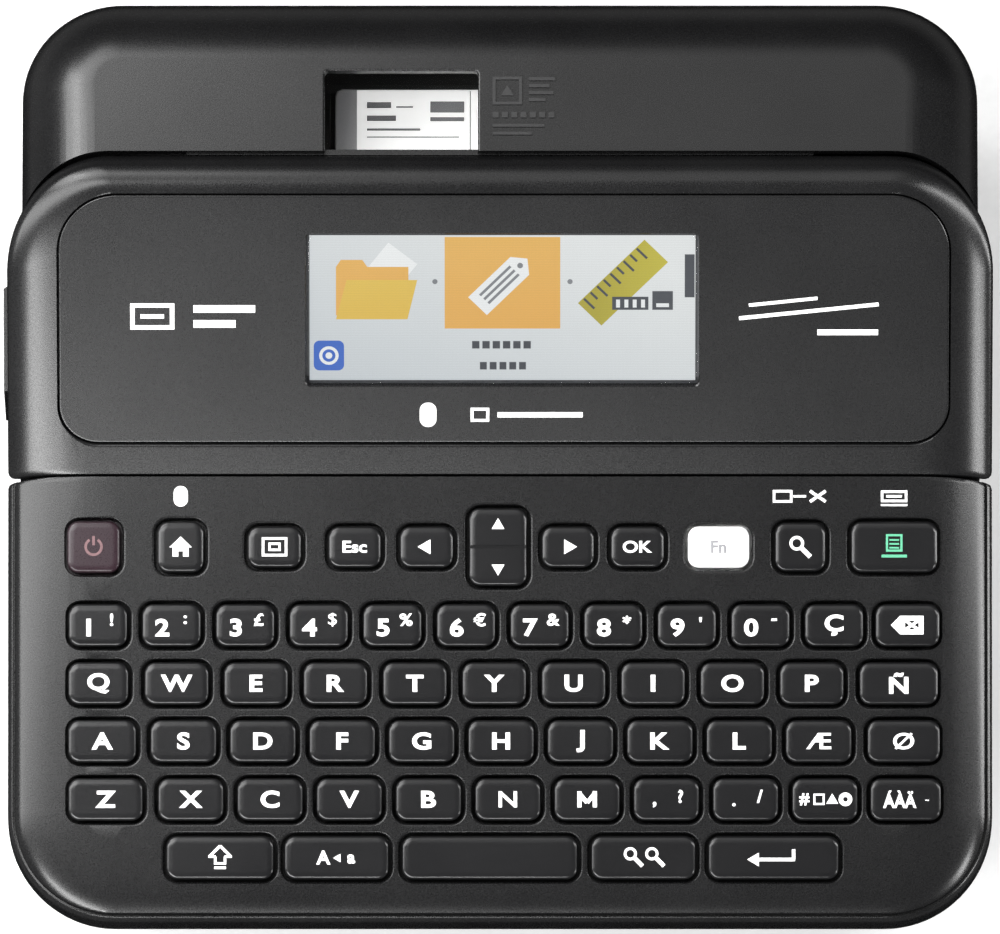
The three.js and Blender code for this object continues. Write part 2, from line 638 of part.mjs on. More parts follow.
const LIP_BACK_Y = LID_FRONT_Y + 1.4;
const housingShell = loft([
  housingLevel(0, 0, LIP_BACK_Y, 34, DISPLAY_CORNER),
  housingLevel(0, 0, LIP_BACK_Y, 11, DISPLAY_CORNER),
  housingLevel(0, 0.3, LIP_BACK_Y, 9, DISPLAY_CORNER),
  housingLevel(0, 1.56, LID_FRONT_Y + 0.6, 6, 20.3),
  housingLevel(0, 3.25, LID_FRONT_Y, 3.6, 19.5),
  housingLevel(0.4, 3.9, LID_FRONT_Y, 2.9, 19),
  housingLevel(1.2, 4.36, LID_FRONT_Y, 2.45, 18.4),
  housingLevel(4, 5.64, LID_FRONT_Y, 1.4, 16.5),
  housingLevel(9, 7.3, LID_FRONT_Y, 0.45, 13),
  housingLevel(16, 9.27, LID_FRONT_Y, 0, 9),
]);
const HOUSING_IN_Y = LIP_BACK_Y + 2;
const housingInside = loft([
  housingLevel(WALL, WALL, HOUSING_IN_Y, 36, DISPLAY_CORNER - WALL),
  housingLevel(WALL, WALL, HOUSING_IN_Y, 11, DISPLAY_CORNER - WALL),
  housingLevel(WALL, 4.6, HOUSING_IN_Y, 6.5, 17),
  housingLevel(6, 7.6, HOUSING_IN_Y, 4.2, 14),
  housingLevel(14, 10.6, HOUSING_IN_Y, 2.8, 9),
]);
const bezelOutline = (grow) => outline(
  BEZEL.x - BEZEL.halfWidth - grow, BEZEL.x + BEZEL.halfWidth + grow, BEZEL.s0 - grow,
  BEZEL.s1 + grow, BEZEL.frontCorner + grow, BEZEL.rearCorner + grow, 4, 6);
const lidUnderside = sideProfile([
  [-20, displayZ(-20) - SKIRT],
  [skirtEndY, LID_EDGE_Z],
  [110, LID_EDGE_Z],
  [110, -10],
  [-20, -10],
], -110, 110);
addPart('display_housing', cut(
  housingShell.subtract(housingInside),
  lidUnderside,
  inGroup(prism(bezelOutline(0.35), -7, 4), displayDeck),
), 'shell');

const screenOutline = (grow) => outline(
  SCREEN.x - SCREEN.halfWidth - grow, SCREEN.x + SCREEN.halfWidth + grow, SCREEN.s0 - grow,
  SCREEN.s1 + grow, 1, 1, 1, 1);
addPart('bezel_panel', cut(prism(bezelOutline(0), -2.2, -0.3), prism(screenOutline(0.3), -5, 1)),
  'bezel', displayDeck);
addPart('display_lens', prism(screenOutline(0), -1.7, -0.7), 'clear', displayDeck);
addPart('lcd_module', box(-45, 46, 14.5, 56, -5.2, -2.6), 'screen', displayDeck);
addPart('display_board', box(-52, 52, 11, 58, -6.8, -5.6), 'board', displayDeck);
addPart('lid_liner', prism(outline(-93, 93, 8.5, 62, 6, 14, 2, 3), -8.4, -7.2), 'inner',
  displayDeck);

// ---------- lid: rear cover ----------
function rearLevel(inset, drop, shrink = 0) {
  const points = outline(-REAR_HALF_WIDTH + inset, REAR_HALF_WIDTH - inset, 10, REAR_Y - inset,
    1, Math.max(REAR_CORNER - inset, 3), 1, 8);
  return { points, z: lower(rearZ, drop + shrink) };
}

function roundedTop(edge, inset, shrink, steps) {
  const levels = [rearLevel(inset, 40)];
  for (let i = 0; i <= steps; i += 1) {
    const angle = (Math.PI / 2) * (1 - i / steps);
    levels.push(rearLevel(inset + edge * (1 - Math.sin(angle)), edge * (1 - Math.cos(angle)), shrink));
  }
  return loft(levels);
}

const COVER_WALL = 2.4;
const housingPrism = prism(outline(-HALF_WIDTH - 0.35, HALF_WIDTH + 0.35, -20, DISPLAY_REAR_Y + 0.35,
  1, DISPLAY_CORNER + 0.35, 1, 8), -10, 120);
const aboveCorners = sideProfile([
  [0, displayZ(0) - 3.4],
  [80, displayZ(80) - 3.4],
  [80, 160],
  [0, 160],
], -110, 110);
let cover = cut(
  roundedTop(REAR_EDGE, 0, 0, 5),
  roundedTop(REAR_EDGE - COVER_WALL, COVER_WALL, COVER_WALL, 4),
  housingPrism,
  aboveCorners,
  lidUnderside,
  box(WINDOW.x0, WINDOW.x1, 40, WINDOW.y1, 70, 90),
);
for (const side of [-1, 1]) {
  const centre = side * KNUCKLE_X;
  const lug = union(
    rod(BARREL, centre - KNUCKLE_HALF, centre + KNUCKLE_HALF, HINGE_Y, HINGE_Z),
    box(centre - KNUCKLE_HALF, centre + KNUCKLE_HALF, HINGE_Y + 0.2, HINGE_Y + 2.6, HINGE_Z,
      HINGE_Z + 8),
  );
  cover = cut(cover.add(lug),
    rod(PIN + 0.3, centre - KNUCKLE_HALF - 1, centre + KNUCKLE_HALF + 1, HINGE_Y, HINGE_Z, 12));
}
addPart('rear_cover', cover, 'shell');
addPart('cassette_window', sideProfile([
  [WINDOW.y0 + 0.3, rearZ(WINDOW.y0) - 1.8],
  [WINDOW.y1 - 0.3, rearZ(WINDOW.y1) - 1.8],
  [WINDOW.y1 - 0.3, rearZ(WINDOW.y1) - 0.7],
  [WINDOW.y0 + 0.3, rearZ(WINDOW.y0) - 0.7],
], WINDOW.x0 + 0.3, WINDOW.x1 - 0.3), 'clear');

export default labelMaker;
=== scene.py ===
# The desktop label maker's looks: housings, keycaps, display and materials round the CAD frame.
import math

import bmesh
import bpy
import numpy as np
from mathutils import Matrix, Vector


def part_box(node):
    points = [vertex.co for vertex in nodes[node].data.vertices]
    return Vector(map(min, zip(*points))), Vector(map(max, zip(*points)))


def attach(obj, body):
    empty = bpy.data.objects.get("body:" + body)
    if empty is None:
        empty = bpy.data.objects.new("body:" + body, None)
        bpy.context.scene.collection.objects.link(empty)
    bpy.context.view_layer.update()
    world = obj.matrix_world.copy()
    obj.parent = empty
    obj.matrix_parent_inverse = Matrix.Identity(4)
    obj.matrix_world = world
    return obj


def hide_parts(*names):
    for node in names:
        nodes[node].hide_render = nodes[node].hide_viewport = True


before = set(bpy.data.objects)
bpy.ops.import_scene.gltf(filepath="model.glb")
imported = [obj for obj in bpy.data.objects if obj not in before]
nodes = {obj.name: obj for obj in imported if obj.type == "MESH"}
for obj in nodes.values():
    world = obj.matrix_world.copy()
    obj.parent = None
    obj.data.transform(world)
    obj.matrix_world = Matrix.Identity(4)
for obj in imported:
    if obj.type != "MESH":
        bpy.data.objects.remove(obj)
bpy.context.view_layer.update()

# ---------- the CAD's own driving dimensions, in millimetres ----------
MM = 0.001
DECK_SLOPE, DISPLAY_SLOPE, REAR_SLOPE = map(math.radians, (12, 33, 3))
SKIRT = 8.0
SPLIT_GAP = 0.55
FRONT_CORNER = 22.0
DISPLAY_CORNER = 21.0
REAR_CORNER = 20.5
REAR_EDGE = 15.0
LID_EDGE_Z = 61.6
WALL = 2.2
COVER_WALL = 2.4
KEY_GAP = 0.6
KEY_CORNER = 2.8
DECK_CORNER_STEPS = 20
DEPTH_OF_HOLES = 8.0

# the angle between faces, in degrees, over which an edge stays sharp
SOFT_EDGES, CRISP_EDGES, CAP_EDGES = 35, 30, 50

deck_lo, deck_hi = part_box("keyboard_deck")
CENTRE_X = (deck_lo.x + deck_hi.x) / 2 / MM
HALF_WIDTH = (deck_hi.x - deck_lo.x) / 2 / MM
CENTRE_Y = 0.95  # where the housing's own middle lies in the row frame
FRONT_Y = deck_lo.y / MM - CENTRE_Y
FRONT_TOP_Z = deck_lo.z / MM + SKIRT
DECK_REAR_Y = deck_hi.y / MM - CENTRE_Y
SPLIT_Y = DECK_REAR_Y + SPLIT_GAP / 2
LID_FRONT_Y = SPLIT_Y + SPLIT_GAP / 2
cover_lo, cover_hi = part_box("rear_cover")
REAR_HALF_WIDTH = (cover_hi.x - cover_lo.x) / 2 / MM
REAR_Y = cover_hi.y / MM - CENTRE_Y
DISPLAY_REAR_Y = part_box("display_housing")[1].y / MM - CENTRE_Y
REAR_TOP_Z = 80.2


def deck_z(y):
    return FRONT_TOP_Z + (y - FRONT_Y) * math.tan(DECK_SLOPE)


SPLIT_Z = deck_z(SPLIT_Y)


def display_z(y):
    return SPLIT_Z + (y - SPLIT_Y) * math.tan(DISPLAY_SLOPE)


def rear_z(y):
    return REAR_TOP_Z - (y - DISPLAY_REAR_Y) * math.tan(REAR_SLOPE)


SKIRT_END_Y = SPLIT_Y + (LID_EDGE_Z + SKIRT - SPLIT_Z) / math.tan(DISPLAY_SLOPE)

# frames: millimetres in a housing's own axes to metres in the row frame
HOUSING = Matrix.Diagonal((MM, MM, MM, 1)) @ Matrix.Translation((CENTRE_X, CENTRE_Y, 0))


def sloping(y, z, angle):
    return HOUSING @ Matrix.Translation((0, y, z)) @ Matrix.Rotation(angle, 4, "X")


KEYBOARD = sloping(FRONT_Y, FRONT_TOP_Z, DECK_SLOPE)
DISPLAY = sloping(SPLIT_Y, SPLIT_Z, DISPLAY_SLOPE)
COVER_TOP = sloping(DISPLAY_REAR_Y, REAR_TOP_Z, -REAR_SLOPE)

# ---------- mesh helpers ----------
collection = bpy.context.scene.collection


def arc(x, y, radius, start, steps):
    angles = [start + math.pi / 2 * i / steps for i in range(steps + 1)]
    return [(x + radius * math.cos(a), y + radius * math.sin(a)) for a in angles]


def outline(x0, x1, y0, y1, front_r, rear_r, front_steps, rear_steps):
    """Rounded rectangle with its own front and rear corner radii, counter-clockwise."""
    return (
        arc(x0 + front_r, y0 + front_r, front_r, math.pi, front_steps)
        + arc(x1 - front_r, y0 + front_r, front_r, math.pi * 1.5, front_steps)
        + arc(x1 - rear_r, y1 - rear_r, rear_r, 0, rear_steps)
        + arc(x0 + rear_r, y1 - rear_r, rear_r, math.pi / 2, rear_steps)
    )


def pad(x, y, width, depth, radius, steps=6):
    return outline(
        x - width / 2, x + width / 2, y - depth / 2, y + depth / 2, radius, radius, steps, steps
    )


def loft_data(levels):
    """A closed skin through a stack of outlines, as mesh data; z is a number or a function of y."""
    count = len(levels[0][0])
    verts = []
    for points, z in levels:
        verts += [(x, y, z(y) if callable(z) else z) for x, y in points]
    faces = []
    for k in range(len(levels) - 1):
        for i in range(count):
            a, b = k * count + i, k * count + (i + 1) % count
            faces.append((a, b, b + count, a + count))
    faces.append(tuple(reversed(range(count))))
    faces.append(tuple(range((len(levels) - 1) * count, len(levels) * count)))
    return verts, faces


def merge(*parts):
    verts, faces = [], []
    for part_verts, part_faces in parts:
        start = len(verts)
        verts += list(part_verts)
        faces += [tuple(i + start for i in f) for f in part_faces]
    return verts, faces


def shade(mesh, degrees):
    mesh.shade_smooth()
    mesh.set_sharp_from_angle(angle=math.radians(degrees))


def make(name, data, place, smooth=SOFT_EDGES):
    """A mesh object in the row frame from millimetre data in one of the frames."""
    verts, faces = data
    mesh = bpy.data.meshes.new(name)
    mesh.from_pydata([place @ Vector(v) for v in verts], [], faces)
    mesh.validate()
    obj = bpy.data.objects.new(name, mesh)
    collection.objects.link(obj)
    shade(mesh, smooth)
    return obj


def loft(name, levels, place=HOUSING):
    return make(name, loft_data(levels), place)


def sweep(name, corners, x0, x1, place=HOUSING):
    """A side view of (y, z) corners swept from x0 to x1, with its faces turned outward."""
    count = len(corners)
    verts = [(x, y, z) for x in (x0, x1) for y, z in corners]
    faces = [(i, i + count, (i + 1) % count + count, (i + 1) % count) for i in range(count)]
    faces += [tuple(range(count)), tuple(reversed(range(count, 2 * count)))]
    obj = make(name, (verts, faces), place)
    work = bmesh.new()
    work.from_mesh(obj.data)
    bmesh.ops.recalc_face_normals(work, faces=work.faces)
    work.to_mesh(obj.data)
    work.free()
    return obj


def combine(target, tools, operation="DIFFERENCE", smooth=CRISP_EDGES):
    """Booleans the tools into the target's mesh, one after another, and removes them."""
    for tool in tools:
        modifier = target.modifiers.new("cut", "BOOLEAN")
        modifier.operation = operation
        modifier.solver = "MANIFOLD"
        modifier.object = tool
    graph = bpy.context.evaluated_depsgraph_get()
    graph.update()
    mesh = bpy.data.meshes.new_from_object(target.evaluated_get(graph))
    mesh.name = target.name
    target.modifiers.clear()
    target.data = mesh
    for tool in tools:
        bpy.data.objects.remove(tool)
    shade(mesh, smooth)


def finish_piece(obj, look, body, slot, *replaced):
    """Its look and body; the slot is not used. Large flat faces keep their own normal beside small
    rounded ones.
    """
    modifier = obj.modifiers.new("even_shading", "WEIGHTED_NORMAL")
    modifier.mode = "FACE_AREA"
    modifier.weight = 80
    modifier.keep_sharp = True
    obj.data.materials.clear()
    obj.data.materials.append(look)
    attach(obj, body)
    if replaced:
        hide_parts(*replaced)


def smooth_curve(table, xs):
    """Monotone cubic through a table of rows; the first column is the parameter."""
    table = np.array(table, float)
    t, values = table[:, 0], table[:, 1:]
    step = np.diff(t)[:, None]
    slope = np.diff(values, axis=0) / step
    tangent = np.zeros_like(values)
    tangent[0], tangent[-1] = slope[0], slope[-1]
    same = slope[:-1] * slope[1:] > 0
    mean = 2 * slope[:-1] * slope[1:] / np.where(same, slope[:-1] + slope[1:], 1)
    tangent[1:-1] = np.where(same, mean, 0)
    rows = []
    for x in xs:
        k = min(max(int(np.searchsorted(t, x) - 1), 0), len(t) - 2)
        h = step[k, 0]
        u = (x - t[k]) / h
        rows.append(
            values[k] * (2 * u**3 - 3 * u**2 + 1)
            + tangent[k] * h * (u**3 - 2 * u**2 + u)
            + values[k + 1] * (3 * u**2 - 2 * u**3)
            + tangent[k + 1] * h * (u**3 - u**2)
        )
    return rows


# ---------- materials ----------
def new_material(name):
    made = bpy.data.materials.new(name)
    made.use_nodes = True
    tree = made.node_tree
    return made, tree, tree.nodes["Principled BSDF"]


def wire(tree, node, inputs):
    """Gives a node's sockets, by name or number, a link or a value; a colour has three numbers."""
    for key, value in inputs.items():
        if isinstance(value, bpy.types.NodeSocket):
            tree.links.new(value, node.inputs[key])
        elif node.inputs[key].type == "RGBA":
            node.inputs[key].default_value = (*value, 1)
        else:
            node.inputs[key].default_value = value


def add(tree, kind, inputs, **settings):
    node = tree.nodes.new(kind)
    for key, value in settings.items():
        setattr(node, key, value)
    wire(tree, node, inputs)
    return node


def object_space(tree):
    return add(tree, "ShaderNodeTexCoord", {}).outputs["Object"]


def maths(tree, operation, first, second):
    return add(tree, "ShaderNodeMath", {0: first, 1: second}, operation=operation).outputs[0]


def dot(tree, vector, axis):
    node = add(tree, "ShaderNodeVectorMath", {0: vector, 1: axis}, operation="DOT_PRODUCT")
    return node.outputs["Value"]


def noise(tree, coordinate, scale, detail, rough=0.55):
    return add(tree, "ShaderNodeTexNoise", {
        "Vector": coordinate, "Scale": scale, "Detail": detail, "Roughness": rough,
    }).outputs["Fac"]


def spread(tree, value, low, high, from_low=0.3, from_high=0.7, **settings):
    return add(tree, "ShaderNodeMapRange", {
        "Value": value, "From Min": from_low, "From Max": from_high, "To Min": low, "To Max": high,
    }, **settings).outputs["Result"]


def blend_colour(tree, factor, first, second):
    inputs = {"Factor": factor, "A": first, "B": second}
    return add(tree, "ShaderNodeMix", inputs, data_type="RGBA").outputs["Result"]


def relief(tree, height, strength, depth):
    """A bump's normal; the depth is in millimetres."""
    return add(tree, "ShaderNodeBump", {
        "Height": height, "Strength": strength, "Distance": depth * MM,
    }).outputs["Normal"]


def moulded(name, dark, light, rough, grain=0.25, bump=0.25, specular=0.5):
    """Fine grain for bump and sheen, broad clouds for colour; the grain is in millimetres."""
    made, tree, shader = new_material(name)
    coordinate = object_space(tree)
    fine = noise(tree, coordinate, 1 / MM / grain, 2.0)
    clouds = noise(tree, coordinate, 45.0, 4.0)
    share = spread(tree, maths(tree, "ADD", fine, clouds), 0, 1, 0.7, 1.3)
    wire(tree, shader, {
        "Base Color": blend_colour(tree, share, dark, light),
        "Roughness": spread(tree, fine, *rough),
        "Specular IOR Level": specular,
        "Normal": relief(tree, fine, bump, 0.06),
    })
    return made


def self_lit(look, colour, strength):
    tree = look.node_tree
    shader = tree.nodes["Principled BSDF"]
    wire(tree, shader, {"Emission Color": colour, "Emission Strength": strength})
    return look


def brushed(name, dark, light, rough, density):
    """Metal with fine drawn lines; the density along x, y and z is least along the lines."""
    made, tree, shader = new_material(name)
    drawn = add(tree, "ShaderNodeMapping", {"Vector": object_space(tree), "Scale": density})
    lines = noise(tree, drawn.outputs["Vector"], 1.0, 3.0, 0.7)
    wire(tree, shader, {
        "Base Color": blend_colour(tree, spread(tree, lines, 0, 1), dark, light),
        "Roughness": spread(tree, lines, *rough),
        "Metallic": 1.0,
        "Normal": relief(tree, lines, 0.2, 0.03),
    })
    return made


def circuit(name):
    """Solder mask with rows of traces and bright pads."""
    made, tree, shader = new_material(name)
    coordinate = object_space(tree)
    traces = add(tree, "ShaderNodeTexBrick", {
        "Vector": coordinate, "Scale": 90.0, "Mortar Size": 0.035, "Mortar": (0.03, 0.16, 0.07),
        "Color1": (0.012, 0.075, 0.03), "Color2": (0.016, 0.09, 0.038),
    })
    cells = add(tree, "ShaderNodeTexVoronoi", {"Vector": coordinate, "Scale": 260.0})
    pads = spread(tree, cells.outputs["Distance"], 1, 0, 0.1, 0.14)
    wire(tree, shader, {
        "Base Color": blend_colour(tree, pads, traces.outputs["Color"], (0.55, 0.42, 0.2)),
        "Roughness": spread(tree, pads, 0.45, 0.25, 0, 1),
        "Metallic": pads,
        "Normal": relief(tree, traces.outputs["Fac"], 0.3, 0.05),
    })
    return made


def wound(name, dark, light, rough, spool, turns):
    """Thin layers wound round a spool's upright axis."""
    made, tree, shader = new_material(name)
    lo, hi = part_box(spool)
    to_axis = (-(lo.x + hi.x) / 2, -(lo.y + hi.y) / 2, 0)
    centred = add(tree, "ShaderNodeMapping", {"Vector": object_space(tree), "Location": to_axis})
    layers = add(tree, "ShaderNodeTexWave", {
        "Vector": centred.outputs["Vector"], "Scale": turns, "Distortion": 0.6, "Detail": 2.0,
    }, wave_type="RINGS", rings_direction="Z").outputs["Fac"]
    wire(tree, shader, {
        "Base Color": blend_colour(tree, layers, dark, light),
        "Roughness": spread(tree, layers, *rough, 0, 1),
        "Normal": relief(tree, layers, 0.25, 0.1),
    })
    return made


def clear(name, tint, rough, ior):
    """Thin clear moulding: light goes straight through under a glossy, faintly hazy surface."""
    made, tree, _principled = new_material(name)
    haze = noise(tree, object_space(tree), 120.0, 5.0, 0.7)
    gloss = add(tree, "ShaderNodeBsdfGlossy", {"Roughness": spread(tree, haze, *rough)})
    tinted = blend_colour(tree, haze, tint, tuple(c - 0.02 for c in tint))
    through = add(tree, "ShaderNodeBsdfTransparent", {"Color": tinted})
    edge = add(tree, "ShaderNodeFresnel", {"IOR": ior}).outputs["Fac"]
    inner_side = add(tree, "ShaderNodeNewGeometry", {}).outputs["Backfacing"]
    share = maths(tree, "MULTIPLY", edge, maths(tree, "SUBTRACT", 1.0, inner_side))
    mixed = add(tree, "ShaderNodeMixShader", {
        "Fac": share, 1: through.outputs["BSDF"], 2: gloss.outputs["BSDF"],
    })
    wire(tree, tree.nodes["Material Output"], {"Surface": mixed.outputs["Shader"]})
    return made


def lit(name, first, second, axis=(1, 0, 0), span=(-0.04, 0.04), strength=0.85):
    """Backlit display colour: a slow gradient with the fine grid of the display's dots."""
    made, tree, shader = new_material(name)
    coordinate = object_space(tree)
    along = dot(tree, coordinate, axis)
    gradient = blend_colour(tree, spread(tree, along, 0, 1, *span), first, second)
    dots = add(tree, "ShaderNodeTexVoronoi", {
        "Vector": coordinate, "Scale": 3600.0, "Randomness": 0.0,
    })
    grid = spread(tree, dots.outputs["Distance"], 1.0, 0.9, 0.3, 0.7)
    dimmed = add(tree, "ShaderNodeVectorMath", {0: gradient, "Scale": grid}, operation="SCALE")
    wire(tree, shader, {
        "Base Color": (0.02, 0.02, 0.02), "Emission Color": dimmed.outputs["Vector"],
        "Emission Strength": strength, "Roughness": 0.4, "Specular IOR Level": 0.1,
    })
    return made


# dark and light colour, range of roughness, grain, bump, specular level
HOUSING_LOOK = (0.0045, 0.0045, 0.0048), (0.0085, 0.0085, 0.0088), (0.24, 0.31)
INK_FINISH = (0.5, 0.65), 0.15, 0.15
shell = moulded("shell_plastic", *HOUSING_LOOK, 0.3, 0.12, 0.4)
bezel_look = moulded("bezel_plastic", *HOUSING_LOOK, 0.22, 0.08, 0.4)
case_look = moulded(
    "lower_case_plastic", (0.01, 0.01, 0.0105), (0.016, 0.016, 0.0165), (0.3, 0.4), 0.3, 0.2, 0.45)
# the raised marks' plastic is lighter than the cover's: a painted highlight for the light their
# edges catch
raised_painted_highlight_look = moulded(
    "raised_plastic_painted_highlight", (0.011, 0.011, 0.0115), (0.019, 0.019, 0.0195), (0.3, 0.42), 0.3, 0.2, 0.45)
key_look = moulded(
    "key_rubber", (0.0055, 0.0055, 0.006), (0.0095, 0.0095, 0.01), (0.2, 0.26), 0.25, 0.08, 0.4)
power_look = moulded(
    "power_key_rubber", (0.013, 0.006, 0.009), (0.02, 0.01, 0.014), (0.26, 0.33), 0.25, 0.1, 0.36)
white_key_look = moulded(
    "white_key", (0.78, 0.78, 0.77), (0.9, 0.9, 0.89), (0.45, 0.6), 0.25, 0.2)
ink_white = moulded("printed_white", (0.82, 0.82, 0.81), (0.95, 0.95, 0.94), *INK_FINISH)
ink_dark = moulded("printed_grey", (0.16, 0.16, 0.17), (0.26, 0.26, 0.27), *INK_FINISH)
ink_red = moulded("printed_red", (0.1, 0.05, 0.055), (0.15, 0.08, 0.085), *INK_FINISH)
ink_green = moulded("printed_green", (0.06, 0.3, 0.17), (0.1, 0.42, 0.25), *INK_FINISH)
inner_look = moulded(
    "inner_plastic", (0.016, 0.016, 0.017), (0.03, 0.03, 0.031), (0.5, 0.66), 0.4, 0.35)
rubber_look = moulded(
    "rubber", (0.012, 0.012, 0.012), (0.024, 0.024, 0.024), (0.75, 0.92), 0.35, 0.5, 0.3)
wrap_look = moulded(
    "battery_wrap", (0.05, 0.07, 0.1), (0.08, 0.1, 0.14), (0.25, 0.4), 1.2, 0.15)
cassette_look = moulded(
    "cassette_plastic", (0.42, 0.42, 0.43), (0.52, 0.52, 0.53), (0.4, 0.55), 0.3, 0.25)
gear_look = moulded(
    "gear_nylon", (0.66, 0.64, 0.58), (0.8, 0.78, 0.72), (0.38, 0.52), 0.5, 0.2)
lcd_off = moulded("lcd_frame", (0.05, 0.05, 0.055), (0.09, 0.09, 0.095), (0.3, 0.45), 0.5, 0.1)
# the cassette's label paper glows faintly: painted light that brightens it in the shade under the
# window
label_painted_glow_look = self_lit(moulded(
    "cassette_paper_painted_glow", (0.9, 0.9, 0.89), (0.97, 0.97, 0.96), (0.6, 0.8), 0.5, 0.1, 0.2,
), (1, 1, 0.99), 0.42)
paper_look = moulded(
    "label_paper", (0.84, 0.84, 0.82), (0.94, 0.94, 0.92), (0.6, 0.8), 0.5, 0.2, 0.3)
board_look = circuit("circuit_board")
steel_look = brushed(
    "plated_steel", (0.45, 0.46, 0.47), (0.68, 0.69, 0.7), (0.25, 0.45), (400, 6000, 6000))
head_look = brushed(
    "head_aluminium", (0.55, 0.56, 0.57), (0.78, 0.79, 0.8), (0.3, 0.5), (5000, 5000, 300))
blade_look = brushed(
    "blade_steel", (0.5, 0.51, 0.52), (0.75, 0.76, 0.77), (0.15, 0.3), (5000, 300, 6000))
tape_look = wound(
    "wound_tape", (0.6, 0.6, 0.57), (0.88, 0.88, 0.85), (0.5, 0.7), "tape_spool", 900.0)
ribbon_look = wound(
    "wound_ribbon", (0.01, 0.01, 0.011), (0.05, 0.05, 0.055), (0.2, 0.4), "ribbon_spool", 1200.0)
lens_look = clear("display_lens", (0.97, 0.98, 0.98), (0.04, 0.09), 1.25)
window_look = clear("cassette_window", (0.99, 0.99, 0.99), (0.03, 0.08), 1.12)

# ---------- carried-over CAD nodes ----------
# look, radius of the softened edges in millimetres, nodes
KEPT = [
    (case_look, 0.4, "bottom_case"), (shell, 0.25, "exit_guide"), (shell, 0.3, "battery_door"),
    (rubber_look, 0.1, "keypad_mat"), (rubber_look, 0.25, "platen_roller"),
    (rubber_look, 0.4, "foot_1 foot_2 foot_3 foot_4"),
    (board_look, 0.1, "keypad_board main_board display_board"),
    (inner_look, 0.2, "cutter_guide lid_liner roller_holder"),
    (inner_look, 0.25, "dc_jack"), (inner_look, 0.3, "mechanism_frame"),
    (steel_look, 0.12, "usb_port"), (steel_look, 0.15, "hinge_pin_left hinge_pin_right"),
    (steel_look, 0.4, "feed_motor"), (head_look, 0.12, "print_head"),
    (blade_look, 0.1, "cutter_blade"), (wrap_look, 0.5, "battery_pack"),
    (cassette_look, 0.4, "cassette_shell"), (label_painted_glow_look, 0.05, "cassette_label"),
    (paper_look, 0.08, "label_tape"), (tape_look, 0.2, "tape_spool"),
    (ribbon_look, 0.2, "ribbon_spool"), (gear_look, 0.12, "motor_gear idler_gear ribbon_drive"),
    (lens_look, 0.2, "display_lens"), (window_look, 0.2, "cassette_window"),
    (lcd_off, 0.2, "lcd_module"),
]
for look, radius, names in KEPT:
    for name in names.split():
        node = nodes[name]
        node.data.materials.clear()
        node.data.materials.append(look)
        weld = node.modifiers.new("weld", "WELD")
        weld.merge_threshold = 0.01 * MM
        bevel = node.modifiers.new("soft_edges", "BEVEL")
        bevel.width = radius * MM
        bevel.segments = 2
        bevel.limit_method = "ANGLE"
        bevel.angle_limit = math.radians(50)
        bevel.harden_normals = True

# ---------- key layout; s is a distance up the keyboard's slope ----------
FUNCTION_S = 76.23
FUNCTION_DEPTHS = {
    "key_power": 11.7, "key_home": 11.5, "key_preview": 9.5, "key_escape": 9.5, "key_left": 9.5,
    "key_rocker": 17.0, "key_right": 9.5, "key_ok": 9.5, "key_function": 9.6, "key_search": 11.1,
    "key_print": 11.5,
}
BOTTOM_S = 12.65
BOTTOM_KEYS = ["key_shift", "key_capitals", "key_space", "key_zoom", "key_enter"]
BOTTOM_DEPTH = 10.0
ROW_DEPTH = 9.8
# how far a key's flange reaches past its hole at the sides, and at the front and rear
SIDE_FLANGE, FLANGE = 0.3, 0.8
FLANGE_THICKNESS = 1.1
# heights over the slope
FLANGE_TOP, ROCKER_FLANGE_TOP, STEM_FOOT = -3.5, -4.2, -6.2
# row: place, first and last key (centre, width), the others' start, pitch and width, number of keys
KEY_ROWS = {
    "keys_number_row": (60.2, (-82.2, 13.2), (83.3, 14.3), (-67.15, 15.05, 13.2), 12),
    "keys_upper_row": (48.29, (-82.1, 13.5), (81.5, 17.2), (-66.1, 16.23, 14.3), 11),
    "keys_home_row": (36.48, (-81.3, 15.1), (82.5, 16.0), (-64.7, 16.23, 14.7), 11),
    "keys_lower_row": (24.56, (-80.6, 16.4), (82.9, 15.6), (-63.2, 16.2, 14.6), 11),
}


def row_keys(row):
    """The centre across and the width of each key of a row."""
    _, first, last, (start, pitch, width), count = KEY_ROWS[row]
    return [first] + [(start + i * pitch, width) for i in range(count - 2)] + [last]


def single_key(name, s, depth):
    """A single key's centre and the width and depth of its hole; its CAD box gives it across."""
    lo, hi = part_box(name)
    return (lo.x + hi.x) / 2 / MM - CENTRE_X, s, (hi.x - lo.x) / MM - 2 * SIDE_FLANGE, depth


single_keys = {
    **{name: single_key(name, FUNCTION_S, depth) for name, depth in FUNCTION_DEPTHS.items()},
    **{name: single_key(name, BOTTOM_S, BOTTOM_DEPTH) for name in BOTTOM_KEYS},
}
holes = list(single_keys.values())
for row, (s, *_) in KEY_ROWS.items():
    holes += [(x, s, width, ROW_DEPTH) for x, width in row_keys(row)]

# ---------- keyboard deck ----------
# edge profiles: inset from the side, drop below the slope at the sides and at the front
RIM = [
    (0, SKIRT, SKIRT), (0, 5.9, 3.2), (0.25, 5.2, 2.45), (0.6, 4.6, 1.9), (0.95, 4.35, 1.7),
    (1.0, 4.9, 2.2), (1.4, 4.9, 2.2), (1.45, 4.2, 1.1), (1.6, 3.95, 0.86),
]
EDGE = [
    (1.6, 3.95, 0.86), (2.4, 2.95, 0.58), (3.2, 2.42, 0.38), (5, 1.62, 0.14), (8, 0.78, 0.04),
    (12, 0.27, 0.01), (16, 0.07, 0), (22, 0, 0),
]
EDGE_STATIONS = [2, 2.6, 3.3, 4.1, 5, 6, 7.2, 8.6, 10.3, 12.2, 15.7, 22]
# inset and drop of the hollow under the deck's skin
DECK_HOLLOW = [(WALL, SKIRT + 2), (WALL, 6.2), (5, 3.6), (14, 3)]
